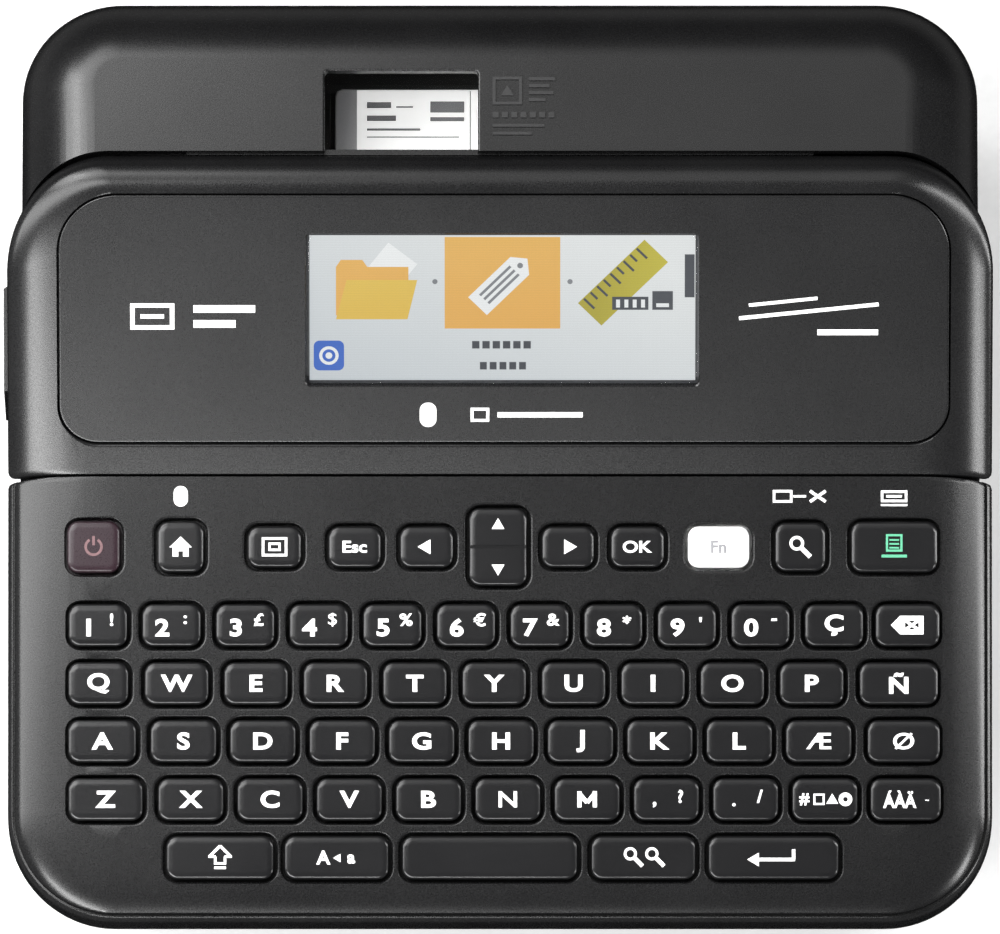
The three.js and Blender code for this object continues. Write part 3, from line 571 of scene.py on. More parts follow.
# A hole's mouth: how much wider than the hole, at a height over the slope. No ring lies on the
# slope itself and the last one stays narrow, so that the cut leaves no needle-shaped faces.
MOUTH = [
    (0.0, -DEPTH_OF_HOLES), (0.0, -0.55), (0.05, -0.35), (0.17, -0.17), (0.36, -0.05),
    (0.64, 0.004), (0.68, 1.2),
]


def front_share(i):
    """How far a point of a deck outline belongs to the front edge, from 0 at the sides to 1."""
    turn = DECK_CORNER_STEPS + 1
    share = i / DECK_CORNER_STEPS if i < turn else (2 * turn - 1 - i) / DECK_CORNER_STEPS
    share = max(share, 0)
    return share * share * (3 - 2 * share)


def deck_outline(inset, rear_y):
    return outline(
        -HALF_WIDTH + inset, HALF_WIDTH - inset, FRONT_Y + inset, rear_y,
        max(FRONT_CORNER - inset, 4), 1, DECK_CORNER_STEPS, 2,
    )


def deck_hollow(inset, drop):
    return deck_outline(inset, DECK_REAR_Y - WALL), lambda y: deck_z(y) - drop


profile = RIM + [
    (inset, *map(float, drops))
    for inset, drops in zip(EDGE_STATIONS, smooth_curve(EDGE, EDGE_STATIONS))
]
deck_verts, deck_faces = loft_data([(deck_outline(level[0], DECK_REAR_Y), 0) for level in profile])
around = len(deck_verts) // len(profile)
shaped = []
for i, (x, y, _z) in enumerate(deck_verts):
    _inset, side_drop, front_drop = profile[i // around]
    share = front_share(i % around)
    shaped.append((x, y, deck_z(y) - side_drop * (1 - share) - front_drop * share))
deck = make("deck_panel", (shaped, deck_faces), HOUSING)
inside = loft("inside", [deck_hollow(*level) for level in DECK_HOLLOW])
cutters = merge(*[
    loft_data([
        (pad(x, s, width + 2 * grow, depth + 2 * grow, KEY_CORNER + grow), h) for grow, h in MOUTH
    ]) for x, s, width, depth in holes
])
combine(deck, [inside, make("key_holes", cutters, KEYBOARD)])
finish_piece(deck, shell, "base", "shell", "keyboard_deck")

# ---------- keycaps ----------
# inset and height over the slope of a cap's crowned edge
CAP = [(0.0, 0.55), (0.06, 0.78), (0.2, 0.98), (0.42, 1.12), (0.75, 1.2), (1.5, 1.25)]
LEAST_CAP_CORNER = 0.7
STEM_WIDTH, STEM_DEPTH = 5, 4
# the groove across the rocker: its length, and its corners up the slope and in height
SLIT_LENGTH = 18
SLIT = [(-0.3, 0.95), (0.3, 0.95), (0.5, 2), (-0.5, 2)]
WEB_DEPTH = ROW_DEPTH + 1.2


def cap_data(x, s, width, depth, foot, flange_top=FLANGE_TOP):
    w, d, r = width - 2 * KEY_GAP, depth - 2 * KEY_GAP, KEY_CORNER - KEY_GAP
    levels = []
    if foot:
        wide = pad(x, s, width + 2 * SIDE_FLANGE, depth + 2 * FLANGE, r)
        stem = pad(x, s, STEM_WIDTH, STEM_DEPTH, 1)
        flange_foot = flange_top - FLANGE_THICKNESS
        levels = [(stem, STEM_FOOT), (stem, flange_foot), (wide, flange_foot), (wide, flange_top)]
    for inset, h in [(0, flange_top)] + CAP:
        corner = max(r - inset, LEAST_CAP_CORNER)
        levels.append((pad(x, s, w - 2 * inset, d - 2 * inset, corner), h))
    return loft_data(levels)


for name, (x, s, width, depth) in single_keys.items():
    flange_top = ROCKER_FLANGE_TOP if name == "key_rocker" else FLANGE_TOP
    data = cap_data(x, s, width, depth, True, flange_top)
    cap = make("cap_" + name, data, KEYBOARD, CAP_EDGES)
    if name == "key_rocker":
        corners = [(s + y, h) for y, h in SLIT]
        slit = sweep("slit", corners, x - SLIT_LENGTH / 2, x + SLIT_LENGTH / 2, KEYBOARD)
        combine(cap, [slit], smooth=CAP_EDGES)
    look = {"key_function": white_key_look, "key_power": power_look}.get(name, key_look)
    finish_piece(cap, look, name, "white_key" if name == "key_function" else "key", name)

for row, (s, *_) in KEY_ROWS.items():
    keys = row_keys(row)
    left, right = keys[0][0] - keys[0][1] / 2 - FLANGE, keys[-1][0] + keys[-1][1] / 2 + FLANGE
    web = outline(left, right, s - WEB_DEPTH / 2, s + WEB_DEPTH / 2, 2, 2, 4, 4)
    strip = loft(row + "_web", [(web, FLANGE_TOP - FLANGE_THICKNESS), (web, FLANGE_TOP)], KEYBOARD)
    finish_piece(strip, rubber_look, row, "key", row)
    for i, (x, width) in enumerate(keys):
        data = cap_data(x, s, width, ROW_DEPTH, False)
        cap = make(f"{row}_cap_{i + 1}", data, KEYBOARD, CAP_EDGES)
        finish_piece(cap, key_look, row, "key", row)

# ---------- printed marks ----------
INK = 0.03
CAP_TOP = CAP[-1][1] + 0.005
CAPITAL_SHARE = 0.73  # a capital's height as a share of the font's size


def bar(x0, y0, x1, y1, width):
    length = math.hypot(x1 - x0, y1 - y0)
    nx, ny = (y0 - y1) / length * width / 2, (x1 - x0) / length * width / 2
    return [(x0 - nx, y0 - ny), (x1 - nx, y1 - ny), (x1 + nx, y1 + ny), (x0 + nx, y0 + ny)]


def rect(x0, x1, y0, y1):
    return [(x0, y0), (x1, y0), (x1, y1), (x0, y1)]


def disc(x, y, radius, sides=20, turn=0):
    """A regular polygon; turn is the direction of its first corner in degrees."""
    angles = [math.radians(turn) + i * math.tau / sides for i in range(sides)]
    return [(x + radius * math.cos(a), y + radius * math.sin(a)) for a in angles]


def triangle(x, y, size, turn):
    return disc(x, y, size, 3, turn)


def ring(x, y, outer, inner, start=0.0, end=360.0, steps=20):
    """A band between two radii, as short closed pieces; angles in degrees."""
    angles = [math.radians(start + (end - start) * i / steps) for i in range(steps + 1)]
    return [
        [(x + r * math.cos(t), y + r * math.sin(t)) for r, t in
         ((inner, a), (outer, a), (outer, b), (inner, b))]
        for a, b in zip(angles, angles[1:])
    ]


def frame_of(x, y, width, depth, line):
    x0, x1, y0, y1 = x - width / 2, x + width / 2, y - depth / 2, y + depth / 2
    return [
        rect(x0, x1, y0, y0 + line), rect(x0, x1, y1 - line, y1),
        rect(x0, x0 + line, y0 + line, y1 - line), rect(x1 - line, x1, y0 + line, y1 - line),
    ]


def magnifier(x, y, r):
    handle = bar(x + 0.3 * r, y - 0.3 * r, x + 1.5 * r, y - 1.5 * r, 0.62 * r)
    return ring(x - 0.35 * r, y + 0.35 * r, r, 0.6 * r) + [handle]


def letter_m(x, y, height, width, stroke):
    """Built from bars, because the font's own M folds over itself when it is thickened."""
    side, top, dip = width / 2, height / 2, y - 0.7
    shoulder = y + top - stroke / 2
    return [
        rect(x - side, x - side + stroke, y - top, y + top),
        rect(x + side - stroke, x + side, y - top, y + top),
        bar(x - side + stroke / 2, shoulder, x, dip, stroke),
        bar(x + side - stroke / 2, shoulder, x, dip, stroke),
    ]


def glyphs(text, x, y, height, weight=0.04, stretch=1.0):
    """A short legend as flat mesh data, centred on x, y; the height is a capital's."""
    curve = bpy.data.curves.new("glyphs", "FONT")
    curve.body = text
    curve.size = height / CAPITAL_SHARE
    curve.extrude = INK / 2
    curve.offset = weight * height
    curve.resolution_u = 5
    holder = bpy.data.objects.new("glyphs", curve)
    collection.objects.link(holder)
    graph = bpy.context.evaluated_depsgraph_get()
    graph.update()
    mesh = bpy.data.meshes.new_from_object(holder.evaluated_get(graph))
    co = np.array([v.co for v in mesh.vertices], float).reshape(-1, 3)
    faces = [tuple(p.vertices) for p in mesh.polygons]
    bpy.data.objects.remove(holder)
    bpy.data.meshes.remove(mesh)
    co -= (co.min(0) + co.max(0)) / 2
    co[:, 0] *= stretch
    co += (x, y, INK / 2)
    return [tuple(v) for v in co], faces


def on(face, x, y, h):
    """A face's frame moved to a mark's own centre, at height h over the face."""
    return face @ Matrix.Translation((x, y, h))


def marks(name, flat, place, body, look=ink_white, texts=(), slot="white_key", thickness=INK):
    """One thin piece: flat outlines and glyphs on the plane of place."""
    parts = [loft_data([(points, 0), (points, thickness)]) for points in flat] + list(texts)
    finish_piece(make(name, merge(*parts), place, CRISP_EDGES), look, body, slot)


def key_marks(key, flat, look=ink_white, texts=()):
    x, s, _width, _depth = single_keys["key_" + key]
    marks("legend_key_" + key, flat, on(KEYBOARD, x, s, CAP_TOP), "key_" + key, look, texts)


key_marks("power", ring(0, 0, 1.9, 1.35, 120, 420) + [bar(0, 0.3, 0, 2.2, 0.55)], ink_red)
key_marks("home", [
    [(-2.3, -0.1), (2.3, -0.1), (0, 2.1)], rect(-1.65, -0.5, -2.0, -0.1),
    rect(0.5, 1.65, -2.0, -0.1), rect(-0.5, 0.5, -0.9, -0.1),
])
key_marks("preview", frame_of(0, 0, 5.2, 3.9, 0.5) + frame_of(0, 0, 2.5, 1.7, 0.45))
key_marks("escape", [], texts=[glyphs("Esc", 0, 0, 2.4, 0.035, 1.2)])
key_marks("left", [triangle(-0.1, 0, 1.75, 180)])
key_marks("right", [triangle(0.1, 0, 1.75, 0)])
key_marks("rocker", [triangle(0, 4.4, 1.5, 90), triangle(0, -4.4, 1.5, 270)])
key_marks("ok", [], texts=[glyphs("OK", 0, 0, 2.4, 0.035, 1.2)])
key_marks("function", [], ink_dark, [glyphs("Fn", 0, 0, 2.6)])
key_marks("search", magnifier(-0.2, 0.2, 1.5))
key_marks("print", [
    *frame_of(0, 0.8, 3.4, 3.6, 0.45), bar(-2.6, -1.9, 2.6, -1.9, 0.6),
    *[bar(-1, y, 1, y, 0.35) for y in (1.4, 0.6, -0.2)],
], ink_green)
key_marks("shift", [
    bar(-2.2, 0.2, 0, 2.4, 0.55), bar(0, 2.4, 2.2, 0.2, 0.55), bar(-2.4, 0.2, -0.9, 0.2, 0.5),
    bar(0.9, 0.2, 2.4, 0.2, 0.5), bar(-1, 0.2, -1, -1.2, 0.5), bar(1, 0.2, 1, -1.2, 0.5),
    bar(-1.25, -1.2, 1.25, -1.2, 0.5), bar(-1.2, -2.1, 1.2, -2.1, 0.5),
])
key_marks("capitals", [triangle(0.3, -0.1, 1.0, 180)],
          texts=[glyphs("A", -2.7, 0, 2.8), glyphs("a", 3.0, -0.3, 2.6)])
key_marks("zoom", magnifier(-2.2, 0.3, 1.35) + magnifier(2.2, 0.3, 1.35))
key_marks("enter", [
    bar(-4.2, -0.4, 4.4, -0.4, 0.7), bar(4.1, -0.4, 4.1, 1.7, 0.7),
    [(-5.4, -0.4), (-3.0, -1.8), (-3.0, 1.0)],
])

LEGENDS = {
    "keys_number_row": "1234567890Ç", "keys_upper_row": "QWERTYUIOPÑ",
    "keys_home_row": "ASDFGHJKLÆØ", "keys_lower_row": "ZXCVBNM",
}
SECOND = "!:£$%€&*'-"  # the number keys' second characters
LEGEND_WEIGHT = 0.045
# letters whose outlines fold over themselves when thickened as much as the others
LIGHT, LIGHT_WEIGHT = "ØNÆ", 0.02
for row, letters in LEGENDS.items():
    xs = [x for x, _width in row_keys(row)]
    texts, flat = [], []
    for i, (x, letter) in enumerate(zip(xs, letters)):
        if row == "keys_number_row" and i < len(SECOND):
            weight = 0.0 if SECOND[i] == "$" else 0.035
            texts += [glyphs(letter, x - 1.9, -0.5, 3.5, LEGEND_WEIGHT, 1.2),
                      glyphs(SECOND[i], x + 2.8, 1.1, 2.5, weight, 1.15)]
        elif letter == "M":
            flat += letter_m(x, 0, 3.3, 4.0, 0.85)
        else:
            weight = LIGHT_WEIGHT if letter in LIGHT else LEGEND_WEIGHT
            texts.append(glyphs(letter, x, 0, 3.4, weight, 1.22))
    if row == "keys_number_row":
        x = xs[11]
        flat += [[(x - 3.4, 0), (x - 1.5, 1.9), (x - 1.5, -1.9)],
                 *frame_of(x + 0.9, 0, 4.8, 3.8, 1.0),
                 bar(x - 0.4, -0.9, x + 2.2, 0.9, 0.6), bar(x - 0.4, 0.9, x + 2.2, -0.9, 0.6)]
    if row == "keys_lower_row":
        for x, pair in zip(xs[7:9], (",?", "./")):
            texts += [glyphs(pair[0], x - 2.4, -1.1, 2.6, 0.05), glyphs(pair[1], x + 2.9, 0.6, 2.6)]
        x = xs[9]
        flat += [*frame_of(x - 1.2, 0, 2.3, 2.3, 0.4), *ring(x + 4.2, 0, 1.4, 0.5),
                 triangle(x + 1.5, -0.2, 1.4, 90)]
        texts.append(glyphs("#", x - 4.2, 0, 2.4))
        x = xs[10]
        texts += [glyphs("ÁÀÄ", x - 1.2, 0, 2.8, 0.04, 0.85), glyphs("~", x + 4.4, -0.2, 0.9, 0.05)]
    marks("legend_" + row, flat, on(KEYBOARD, 0, KEY_ROWS[row][0], CAP_TOP), row, texts=texts)

# small icons on the deck over three of the keys
home_x, search_x, print_x = (single_keys[key][0] for key in ("key_home", "key_search", "key_print"))
marks("deck_marks", [
    pad(home_x, 0, 2.9, 4.2, 1.4),
    *frame_of(search_x - 3.6, 0, 4.0, 2.6, 0.5), bar(search_x - 1.4, 0, search_x + 1.2, 0, 0.45),
    bar(search_x + 2.0, 1.1, search_x + 5.2, -1.1, 0.6),
    bar(search_x + 2.0, -1.1, search_x + 5.2, 1.1, 0.6),
    *frame_of(print_x, 0, 5.4, 2.4, 0.5), bar(print_x - 1.6, 0, print_x + 1.6, 0, 0.5),
    bar(print_x - 2.7, -1.8, print_x + 2.7, -1.8, 0.4),
], on(KEYBOARD, 0, FUNCTION_S + 10.4, 0.005), "base")

# ---------- display housing ----------
LIP_BACK_Y = LID_FRONT_Y + 1.4
INNER_FRONT_Y = LIP_BACK_Y + 2
# side inset, rear inset, front edge, drop below the slope and rear corner radius
LID_WALLS = [
    (0, 0, LIP_BACK_Y, 34, DISPLAY_CORNER), (0, 0, LIP_BACK_Y, 11, DISPLAY_CORNER),
    (0, 0.3, LIP_BACK_Y, 9, DISPLAY_CORNER), (0, 0.85, LIP_BACK_Y - 0.5, 7.5, 20.7),
    (0, 1.56, LID_FRONT_Y + 0.6, 6, 20.3), (0.2, 2.3, LID_FRONT_Y + 0.15, 4.9, 19.9),
    (0.6, 2.75, LID_FRONT_Y, 4.3, 19.5), (1.05, 3.1, LID_FRONT_Y, 3.75, 19.1),
    (1.6, 3.5, LID_FRONT_Y, 3.3, 18.6),
]
LID_HOLLOW = [
    (WALL, WALL, INNER_FRONT_Y, 36, DISPLAY_CORNER - WALL),
    (WALL, WALL, INNER_FRONT_Y, 11, DISPLAY_CORNER - WALL),
    (WALL, 4.6, INNER_FRONT_Y, 6.5, 17), (6, 7.6, INNER_FRONT_Y, 4.2, 14),
    (14, 10.6, INNER_FRONT_Y, 2.8, 9),
]
# the same over the rounded shoulder, where the front edge stays put
SHOULDER = [
    (1.6, 3.5, 3.3, 18.6), (3, 4.4, 2.4, 17.6), (5, 5.6, 1.45, 16), (8, 7.0, 0.6, 13.6),
    (11, 8.2, 0.2, 11), (14, 9.0, 0.03, 9.5), (17, 9.6, 0, 9),
]
SHOULDER_STATIONS = [2, 2.5, 3.1, 3.8, 4.6, 5.5, 6.6, 7.8, 9.2, 10.8, 12.6, 14.8, 17]
# cutters start in front of the part they cut and end past its sides, rear and foot
AHEAD, BEYOND, BELOW = -20, 110, -10


def housing_level(side, rear, front, drop, rear_r):
    points = outline(
        -HALF_WIDTH + side, HALF_WIDTH - side, front, DISPLAY_REAR_Y - rear, 1, rear_r, 3, 22)
    return points, lambda y: display_z(y) - drop


levels = [housing_level(*level) for level in LID_WALLS]
for side, row in zip(SHOULDER_STATIONS, smooth_curve(SHOULDER, SHOULDER_STATIONS)):
    rear, drop, radius = map(float, row)
    levels.append(housing_level(side, rear, LID_FRONT_Y, drop, radius))
housing = loft("display_housing_shell", levels)
inside = loft("inside", [housing_level(*level) for level in LID_HOLLOW])


def underside():
    """Everything under the lid's lower edge."""
    return sweep("underside", [
        (AHEAD, display_z(AHEAD) - SKIRT), (SKIRT_END_Y, LID_EDGE_Z), (BEYOND, LID_EDGE_Z),
        (BEYOND, BELOW), (AHEAD, BELOW),
    ], -BEYOND, BEYOND)


def across(node):
    """A node's centre across, in the housing's own axes, and half its width."""
    lo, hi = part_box(node)
    return (lo.x + hi.x) / 2 / MM - CENTRE_X, (hi.x - lo.x) / 2 / MM


BEZEL_X, BEZEL_HALF = across("bezel_panel")
BEZEL_S = (6.92, 59.86)
SCREEN_X, SCREEN_HALF = across("display_lens")
SCREEN_S = (19.39, 51.25)
# how much wider or narrower than the outline, at a height over the display's slope
BEZEL_OPENING = [
    (0.35, -7), (0.35, -0.5), (0.4, -0.28), (0.52, -0.12), (0.72, -0.02), (0.97, 0.004), (1.6, 1.2),
]
PANEL_TOP = -0.3
BEZEL_EDGE = [(0, -2.2), (0, -0.62), (0.06, -0.44), (0.2, -0.33), (0.42, PANEL_TOP)]
SCREEN_MOUTH = [(0.3, -5), (0.3, -0.55), (0.52, -0.28), (1.4, 0.6)]


def bezel_outline(grow):
    return outline(
        BEZEL_X - BEZEL_HALF - grow, BEZEL_X + BEZEL_HALF + grow,
        BEZEL_S[0] - grow, BEZEL_S[1] + grow, 8 + grow, 12 + grow, 14, 16,
    )


def screen_outline(grow):
    return outline(
        SCREEN_X - SCREEN_HALF - grow, SCREEN_X + SCREEN_HALF + grow,
        SCREEN_S[0] - grow, SCREEN_S[1] + grow, 1, 1, 5, 5,
    )


opening = loft("opening", [(bezel_outline(grow), h) for grow, h in BEZEL_OPENING], DISPLAY)
combine(housing, [inside, underside(), opening])
finish_piece(housing, shell, "lid", "shell", "display_housing")

# ---------- bezel, display ----------
panel = loft("bezel_plate", [(bezel_outline(-inset), h) for inset, h in BEZEL_EDGE], DISPLAY)
mouth = loft("mouth", [(screen_outline(grow), h) for grow, h in SCREEN_MOUTH], DISPLAY)
combine(panel, [mouth])
finish_piece(panel, bezel_look, "lid", "bezel", "bezel_panel")

# the picture: thin layers behind the lens
GLOW_H = -2.05
GLOW_STEP = 0.03
GLOW_THICKNESS = 0.02
SCREEN_BORDER = 0.4
sx0, sx1 = SCREEN_X - SCREEN_HALF + SCREEN_BORDER, SCREEN_X + SCREEN_HALF - SCREEN_BORDER
ss0, ss1 = SCREEN_S[0] + SCREEN_BORDER, SCREEN_S[1] - SCREEN_BORDER
UP = (0, 1, 0)
# first and second colour, and where needed the gradient's direction, its span, and the strength
GLOWS = {
    "background": ((0.62, 0.66, 0.7), (0.93, 0.94, 0.94), (0.35, 0.8, 0.5), (0.02, 0.075)),
    "orange": ((0.9, 0.43, 0.07), (0.97, 0.57, 0.14), UP, (0.01, 0.05)),
    "yellow": ((0.83, 0.48, 0.05), (0.95, 0.7, 0.12), UP, (0.01, 0.05)),
    "olive": ((0.5, 0.42, 0.03), (0.72, 0.62, 0.06), (1, 0, 0), (0.02, 0.04)),
    "white": ((0.9, 0.91, 0.92), (1.0, 1.0, 1.0), UP, (0.01, 0.05), 0.9),
    "dark": ((0.03, 0.035, 0.05), (0.07, 0.075, 0.09)),
    "grey": ((0.2, 0.21, 0.23), (0.3, 0.31, 0.33)),
    "blue": ((0.01, 0.07, 0.45), (0.03, 0.14, 0.62), UP, (-0.01, 0.01)),
}
glows = {colour: lit("glow_" + colour, *settings) for colour, settings in GLOWS.items()}


def on_screen(u, v):
    """A place on the screen from shares of its width and height, from the lower left."""
    return sx0 + (sx1 - sx0) * u, ss0 + (ss1 - ss0) * v


def glow(name, flat, colour, layer, centre=(0, 0)):
    place = on(DISPLAY, *centre, GLOW_H + GLOW_STEP * layer)
    marks("screen_" + name, flat, place, "lid", glows[colour], (), "screen", GLOW_THICKNESS)


def turned(points, degrees):
    c, k = math.cos(math.radians(degrees)), math.sin(math.radians(degrees))
    return [(x * c - y * k, x * k + y * c) for x, y in points]


glow("background", [rect(sx0, sx1, ss0, ss1)], "background", 0)
tile = on_screen(0.5, 0.675)
glow("tile", [rect(-11.8, 11.8, -9.9, 9.7)], "orange", 1, tile)
tag = [(-7.2, -2.7), (5.0, -2.7), (7.2, 0), (5.0, 2.7), (-7.2, 2.7)]
glow("tag", [turned(tag, 45)], "white", 2, tile)
glow("tag_lines", [
    *[turned(rect(-5.2, 3.6, -0.2 + k, 0.35 + k), 45) for k in (-1.2, 0.0, 1.2)],
    turned(disc(5.1, 0, 0.6, 12), 45),
], "grey", 3, tile)
folder = on_screen(0.165, 0.64)
paper = (folder[0] + 3, folder[1] + 4.6)
glow("folder_paper", [turned(rect(-3, 4.5, -4, 4), -38)], "white", 1, paper)
glow("folder_back", [[
    (-7.6, -6), (7.2, -6), (7.2, 4.4), (-1.2, 4.4), (-2.2, 5.9), (-6.6, 5.9), (-7.6, 4.4),
]], "orange", 2, folder)
glow("folder", [
    [(-7.6, -6.8), (7.0, -6.8), (9.0, 1.6), (-5.4, 1.6)],
], "yellow", 3, folder)
plug = on_screen(0.83, 0.66)
ruler = (plug[0] - 1.4, plug[1] + 0.4)
glow("ruler", [turned(rect(-9.6, 9.6, -3.4, 3.4), 45)], "olive", 1, ruler)
glow("ruler_ticks", [
    turned(rect(-8.3 + 1.9 * k, -7.8 + 1.9 * k, 1.2 if k % 2 else 0.2, 3.2), 45) for k in range(9)
], "dark", 2, ruler)
glow("plug", [rect(-3.6, 3.8, -5.4, -2.6), rect(4.6, 8.8, -5.4, -1.4)], "dark", 3, plug)
glow("plug_pins", [
    *[rect(-2.8 + 1.7 * k, -2.0 + 1.7 * k, -4.9, -3.2) for k in range(4)],
    rect(5.4, 8.0, -4.8, -4.0),
], "white", 4, plug)
glow("next", [rect(-1.0, 1.0, -4.6, 4.6)], "dark", 1, on_screen(0.985, 0.72))
glow("caption", [
    *[rect(-6.2 + 2.1 * k, -4.7 + 2.1 * k, 1.5, 3.1) for k in range(6)],
    *[rect(-4.6 + 2.0 * k, -3.2 + 2.0 * k, -3.0, -1.4) for k in range(5)],
], "dark", 1, on_screen(0.5, 0.17))
badge = on_screen(0.05, 0.17)
glow("badge", [pad(0, 0, 6.2, 6.4, 1.2)], "blue", 1, badge)
glow("badge_mark", ring(0, 0, 2.0, 1.35) + [disc(0, 0, 0.7, 14)], "white", 2, badge)
glow("dots", [disc(*on_screen(u, 0.68), 0.55, 12) for u in (0.325, 0.675)], "grey", 1)

# generic printed marks on the bezel: a plain tag, a tape line and two small ones
MARK_S = 34.0
marks("bezel_marks", [
    *frame_of(-8.0, 0, 9.0, 5.6, 0.9), bar(-10.4, 0, -5.6, 0, 0.9),
    bar(0.4, 1.6, 13.0, 1.6, 1.6), bar(0.4, -1.6, 9.0, -1.6, 1.6),
], on(DISPLAY, BEZEL_X - 63.8, MARK_S, PANEL_TOP), "lid")
marks("bezel_tape_marks", [
    bar(-14.0, -0.4, 14.5, 2.6, 0.8), bar(-12.0, 2.4, 2.0, 3.9, 0.7),
    bar(2.0, -3.4, 14.4, -3.4, 1.2),
], on(DISPLAY, BEZEL_X + 62.0, MARK_S, PANEL_TOP), "lid")
marks("bezel_small_marks", [
    pad(-15.2, 0, 3.4, 5.2, 1.6), *frame_of(-4.6, 0, 3.8, 3.0, 0.6), bar(-1.0, 0, 16.4, 0, 1.1),
], on(DISPLAY, SCREEN_X, 12.9, PANEL_TOP), "lid")

# ---------- rear cover ----------
COVER_FRONT_Y, CUT_FRONT_Y = 10, 40
COVER_DEPTH = 40  # before the underside is cut off
CLEARANCE = 0.35  # between the cover and the display housing
SEAM_DROP = 3.4  # the cover starts this far below the display's slope
SEAM_CUT_END, ABOVE = 80, 160
window_lo, window_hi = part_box("cassette_window")
WINDOW_GAP = 0.3
WIN_X0 = window_lo.x / MM - CENTRE_X - WINDOW_GAP
WIN_X1 = window_hi.x / MM - CENTRE_X + WINDOW_GAP
WIN_Y1 = window_hi.y / MM - CENTRE_Y + WINDOW_GAP
# how much wider than the window, and the drop below the cover's slope
WINDOW_MOUTH = [(0, 12), (0, 0.45), (0.06, 0.25), (0.2, 0.1), (0.46, -0.004), (1.5, -1.2)]
# the lid's knuckles round the hinge pins: place, half width, outer and inner radius
KNUCKLE_X, KNUCKLE_HALF, BARREL, BORE = 60.0, 4.0, 2.8, 1.5
HINGE_Y, HINGE_Z = 87.5, 57.5
HINGE_WEB_BACK, HINGE_WEB_HEIGHT = 2.6, 8
# ribs under the cover's front edge close the seam to the display housing; the one under the
# window is slim. From x0 to x1, and how far each reaches back
RIB_TOP, RIB_FOOT, RIB_END, RIB_FRONT = 2.2, 4.2, 64.0, 0.04
RIBS = [
    (-RIB_END, WIN_X0 - 0.4, 2.4), (WIN_X0 - 1.0, WIN_X1 + 1.0, 1.2), (WIN_X1 + 0.4, RIB_END, 2.4),
]


def rear_level(inset, drop):
    points = outline(
        -REAR_HALF_WIDTH + inset, REAR_HALF_WIDTH - inset, COVER_FRONT_Y, REAR_Y - inset,
        1, max(REAR_CORNER - inset, 3), 2, 20,
    )
    return points, lambda y: rear_z(y) - drop


def rounded_top(name, edge, inset, shrink, steps):
    levels = [rear_level(inset, COVER_DEPTH)]
    for i in range(steps + 1):
        angle = math.pi / 2 * (1 - i / steps)
        drop = edge * (1 - math.cos(angle)) + shrink
        levels.append(rear_level(inset + edge * (1 - math.sin(angle)), drop))
    return loft(name, levels)


def window_level(grow, drop):
    points = outline(WIN_X0 - grow, WIN_X1 + grow, CUT_FRONT_Y, WIN_Y1 + grow, 1, 0.8 + grow, 2, 5)
    return points, lambda y: rear_z(y) - drop


def hinge_rod(name, radius, x, half):
    return sweep(name, disc(HINGE_Y, HINGE_Z, radius, 32), x - half, x + half)


cover = rounded_top("rear_cover_shell", REAR_EDGE, 0, 0, 16)
hollow = rounded_top("hollow", REAR_EDGE - COVER_WALL, COVER_WALL, COVER_WALL, 8)
clearance = loft("clearance", [
    (outline(
        -HALF_WIDTH - CLEARANCE, HALF_WIDTH + CLEARANCE, AHEAD, DISPLAY_REAR_Y + CLEARANCE,
        1, DISPLAY_CORNER + CLEARANCE, 2, 22), z)
    for z in (BELOW, 120)
])
above = sweep("above", [
    (0, display_z(0) - SEAM_DROP), (SEAM_CUT_END, display_z(SEAM_CUT_END) - SEAM_DROP),
    (SEAM_CUT_END, ABOVE), (0, ABOVE),
], -BEYOND, BEYOND)
window_cut = loft("window_cut", [window_level(*level) for level in WINDOW_MOUTH])
combine(cover, [hollow, clearance, above, underside(), window_cut])
lugs, bores = [], []
for x0, x1, rib_back in RIBS:
    lugs.append(sweep("rib", [
        (DISPLAY_REAR_Y + RIB_FRONT, REAR_TOP_Z - RIB_FOOT),
        (DISPLAY_REAR_Y + rib_back, REAR_TOP_Z - RIB_FOOT),
        (DISPLAY_REAR_Y + rib_back, REAR_TOP_Z - RIB_TOP),
        (DISPLAY_REAR_Y + RIB_FRONT, REAR_TOP_Z - RIB_TOP),
    ], x0, x1))
for x in (-KNUCKLE_X, KNUCKLE_X):
    lugs.append(hinge_rod("lug", BARREL, x, KNUCKLE_HALF))
    lugs.append(sweep("web", rect(
        HINGE_Y + 0.2, HINGE_Y + HINGE_WEB_BACK, HINGE_Z, HINGE_Z + HINGE_WEB_HEIGHT,
    ), x - KNUCKLE_HALF, x + KNUCKLE_HALF))
    bores.append(hinge_rod("bore", BORE, x, KNUCKLE_HALF + 1))
combine(cover, lugs, "UNION")
combine(cover, bores)
finish_piece(cover, shell, "lid", "shell", "rear_cover")

# plain raised marks on the cover to the right of the window, in a lighter plastic: a painted
# highlight for the light on their edges
RAISED_FOOT, RAISED = -0.1, 0.3
marks("cover_raised_marks", [
    *frame_of(3.0, -3.4, 6.0, 6.0, 0.6), triangle(3.0, -3.7, 1.5, 90),
    *[rect(7.4, end, -1.2 - 1.5 * i, -0.5 - 1.5 * i)
      for i, end in enumerate((12.8, 11.6, 12.4, 10.8))],
    *[rect(1.9 * i, 1.2 + 1.9 * i, -9.2, -8.0) for i in range(7)],
    rect(0, 10.6, -11.2, -10.6), rect(0, 8.0, -12.9, -12.3),
], on(COVER_TOP, WIN_X1 + 3.0, WIN_Y1 - DISPLAY_REAR_Y - 1.0, RAISED_FOOT),
    "lid", raised_painted_highlight_look, (), "shell", RAISED - RAISED_FOOT)

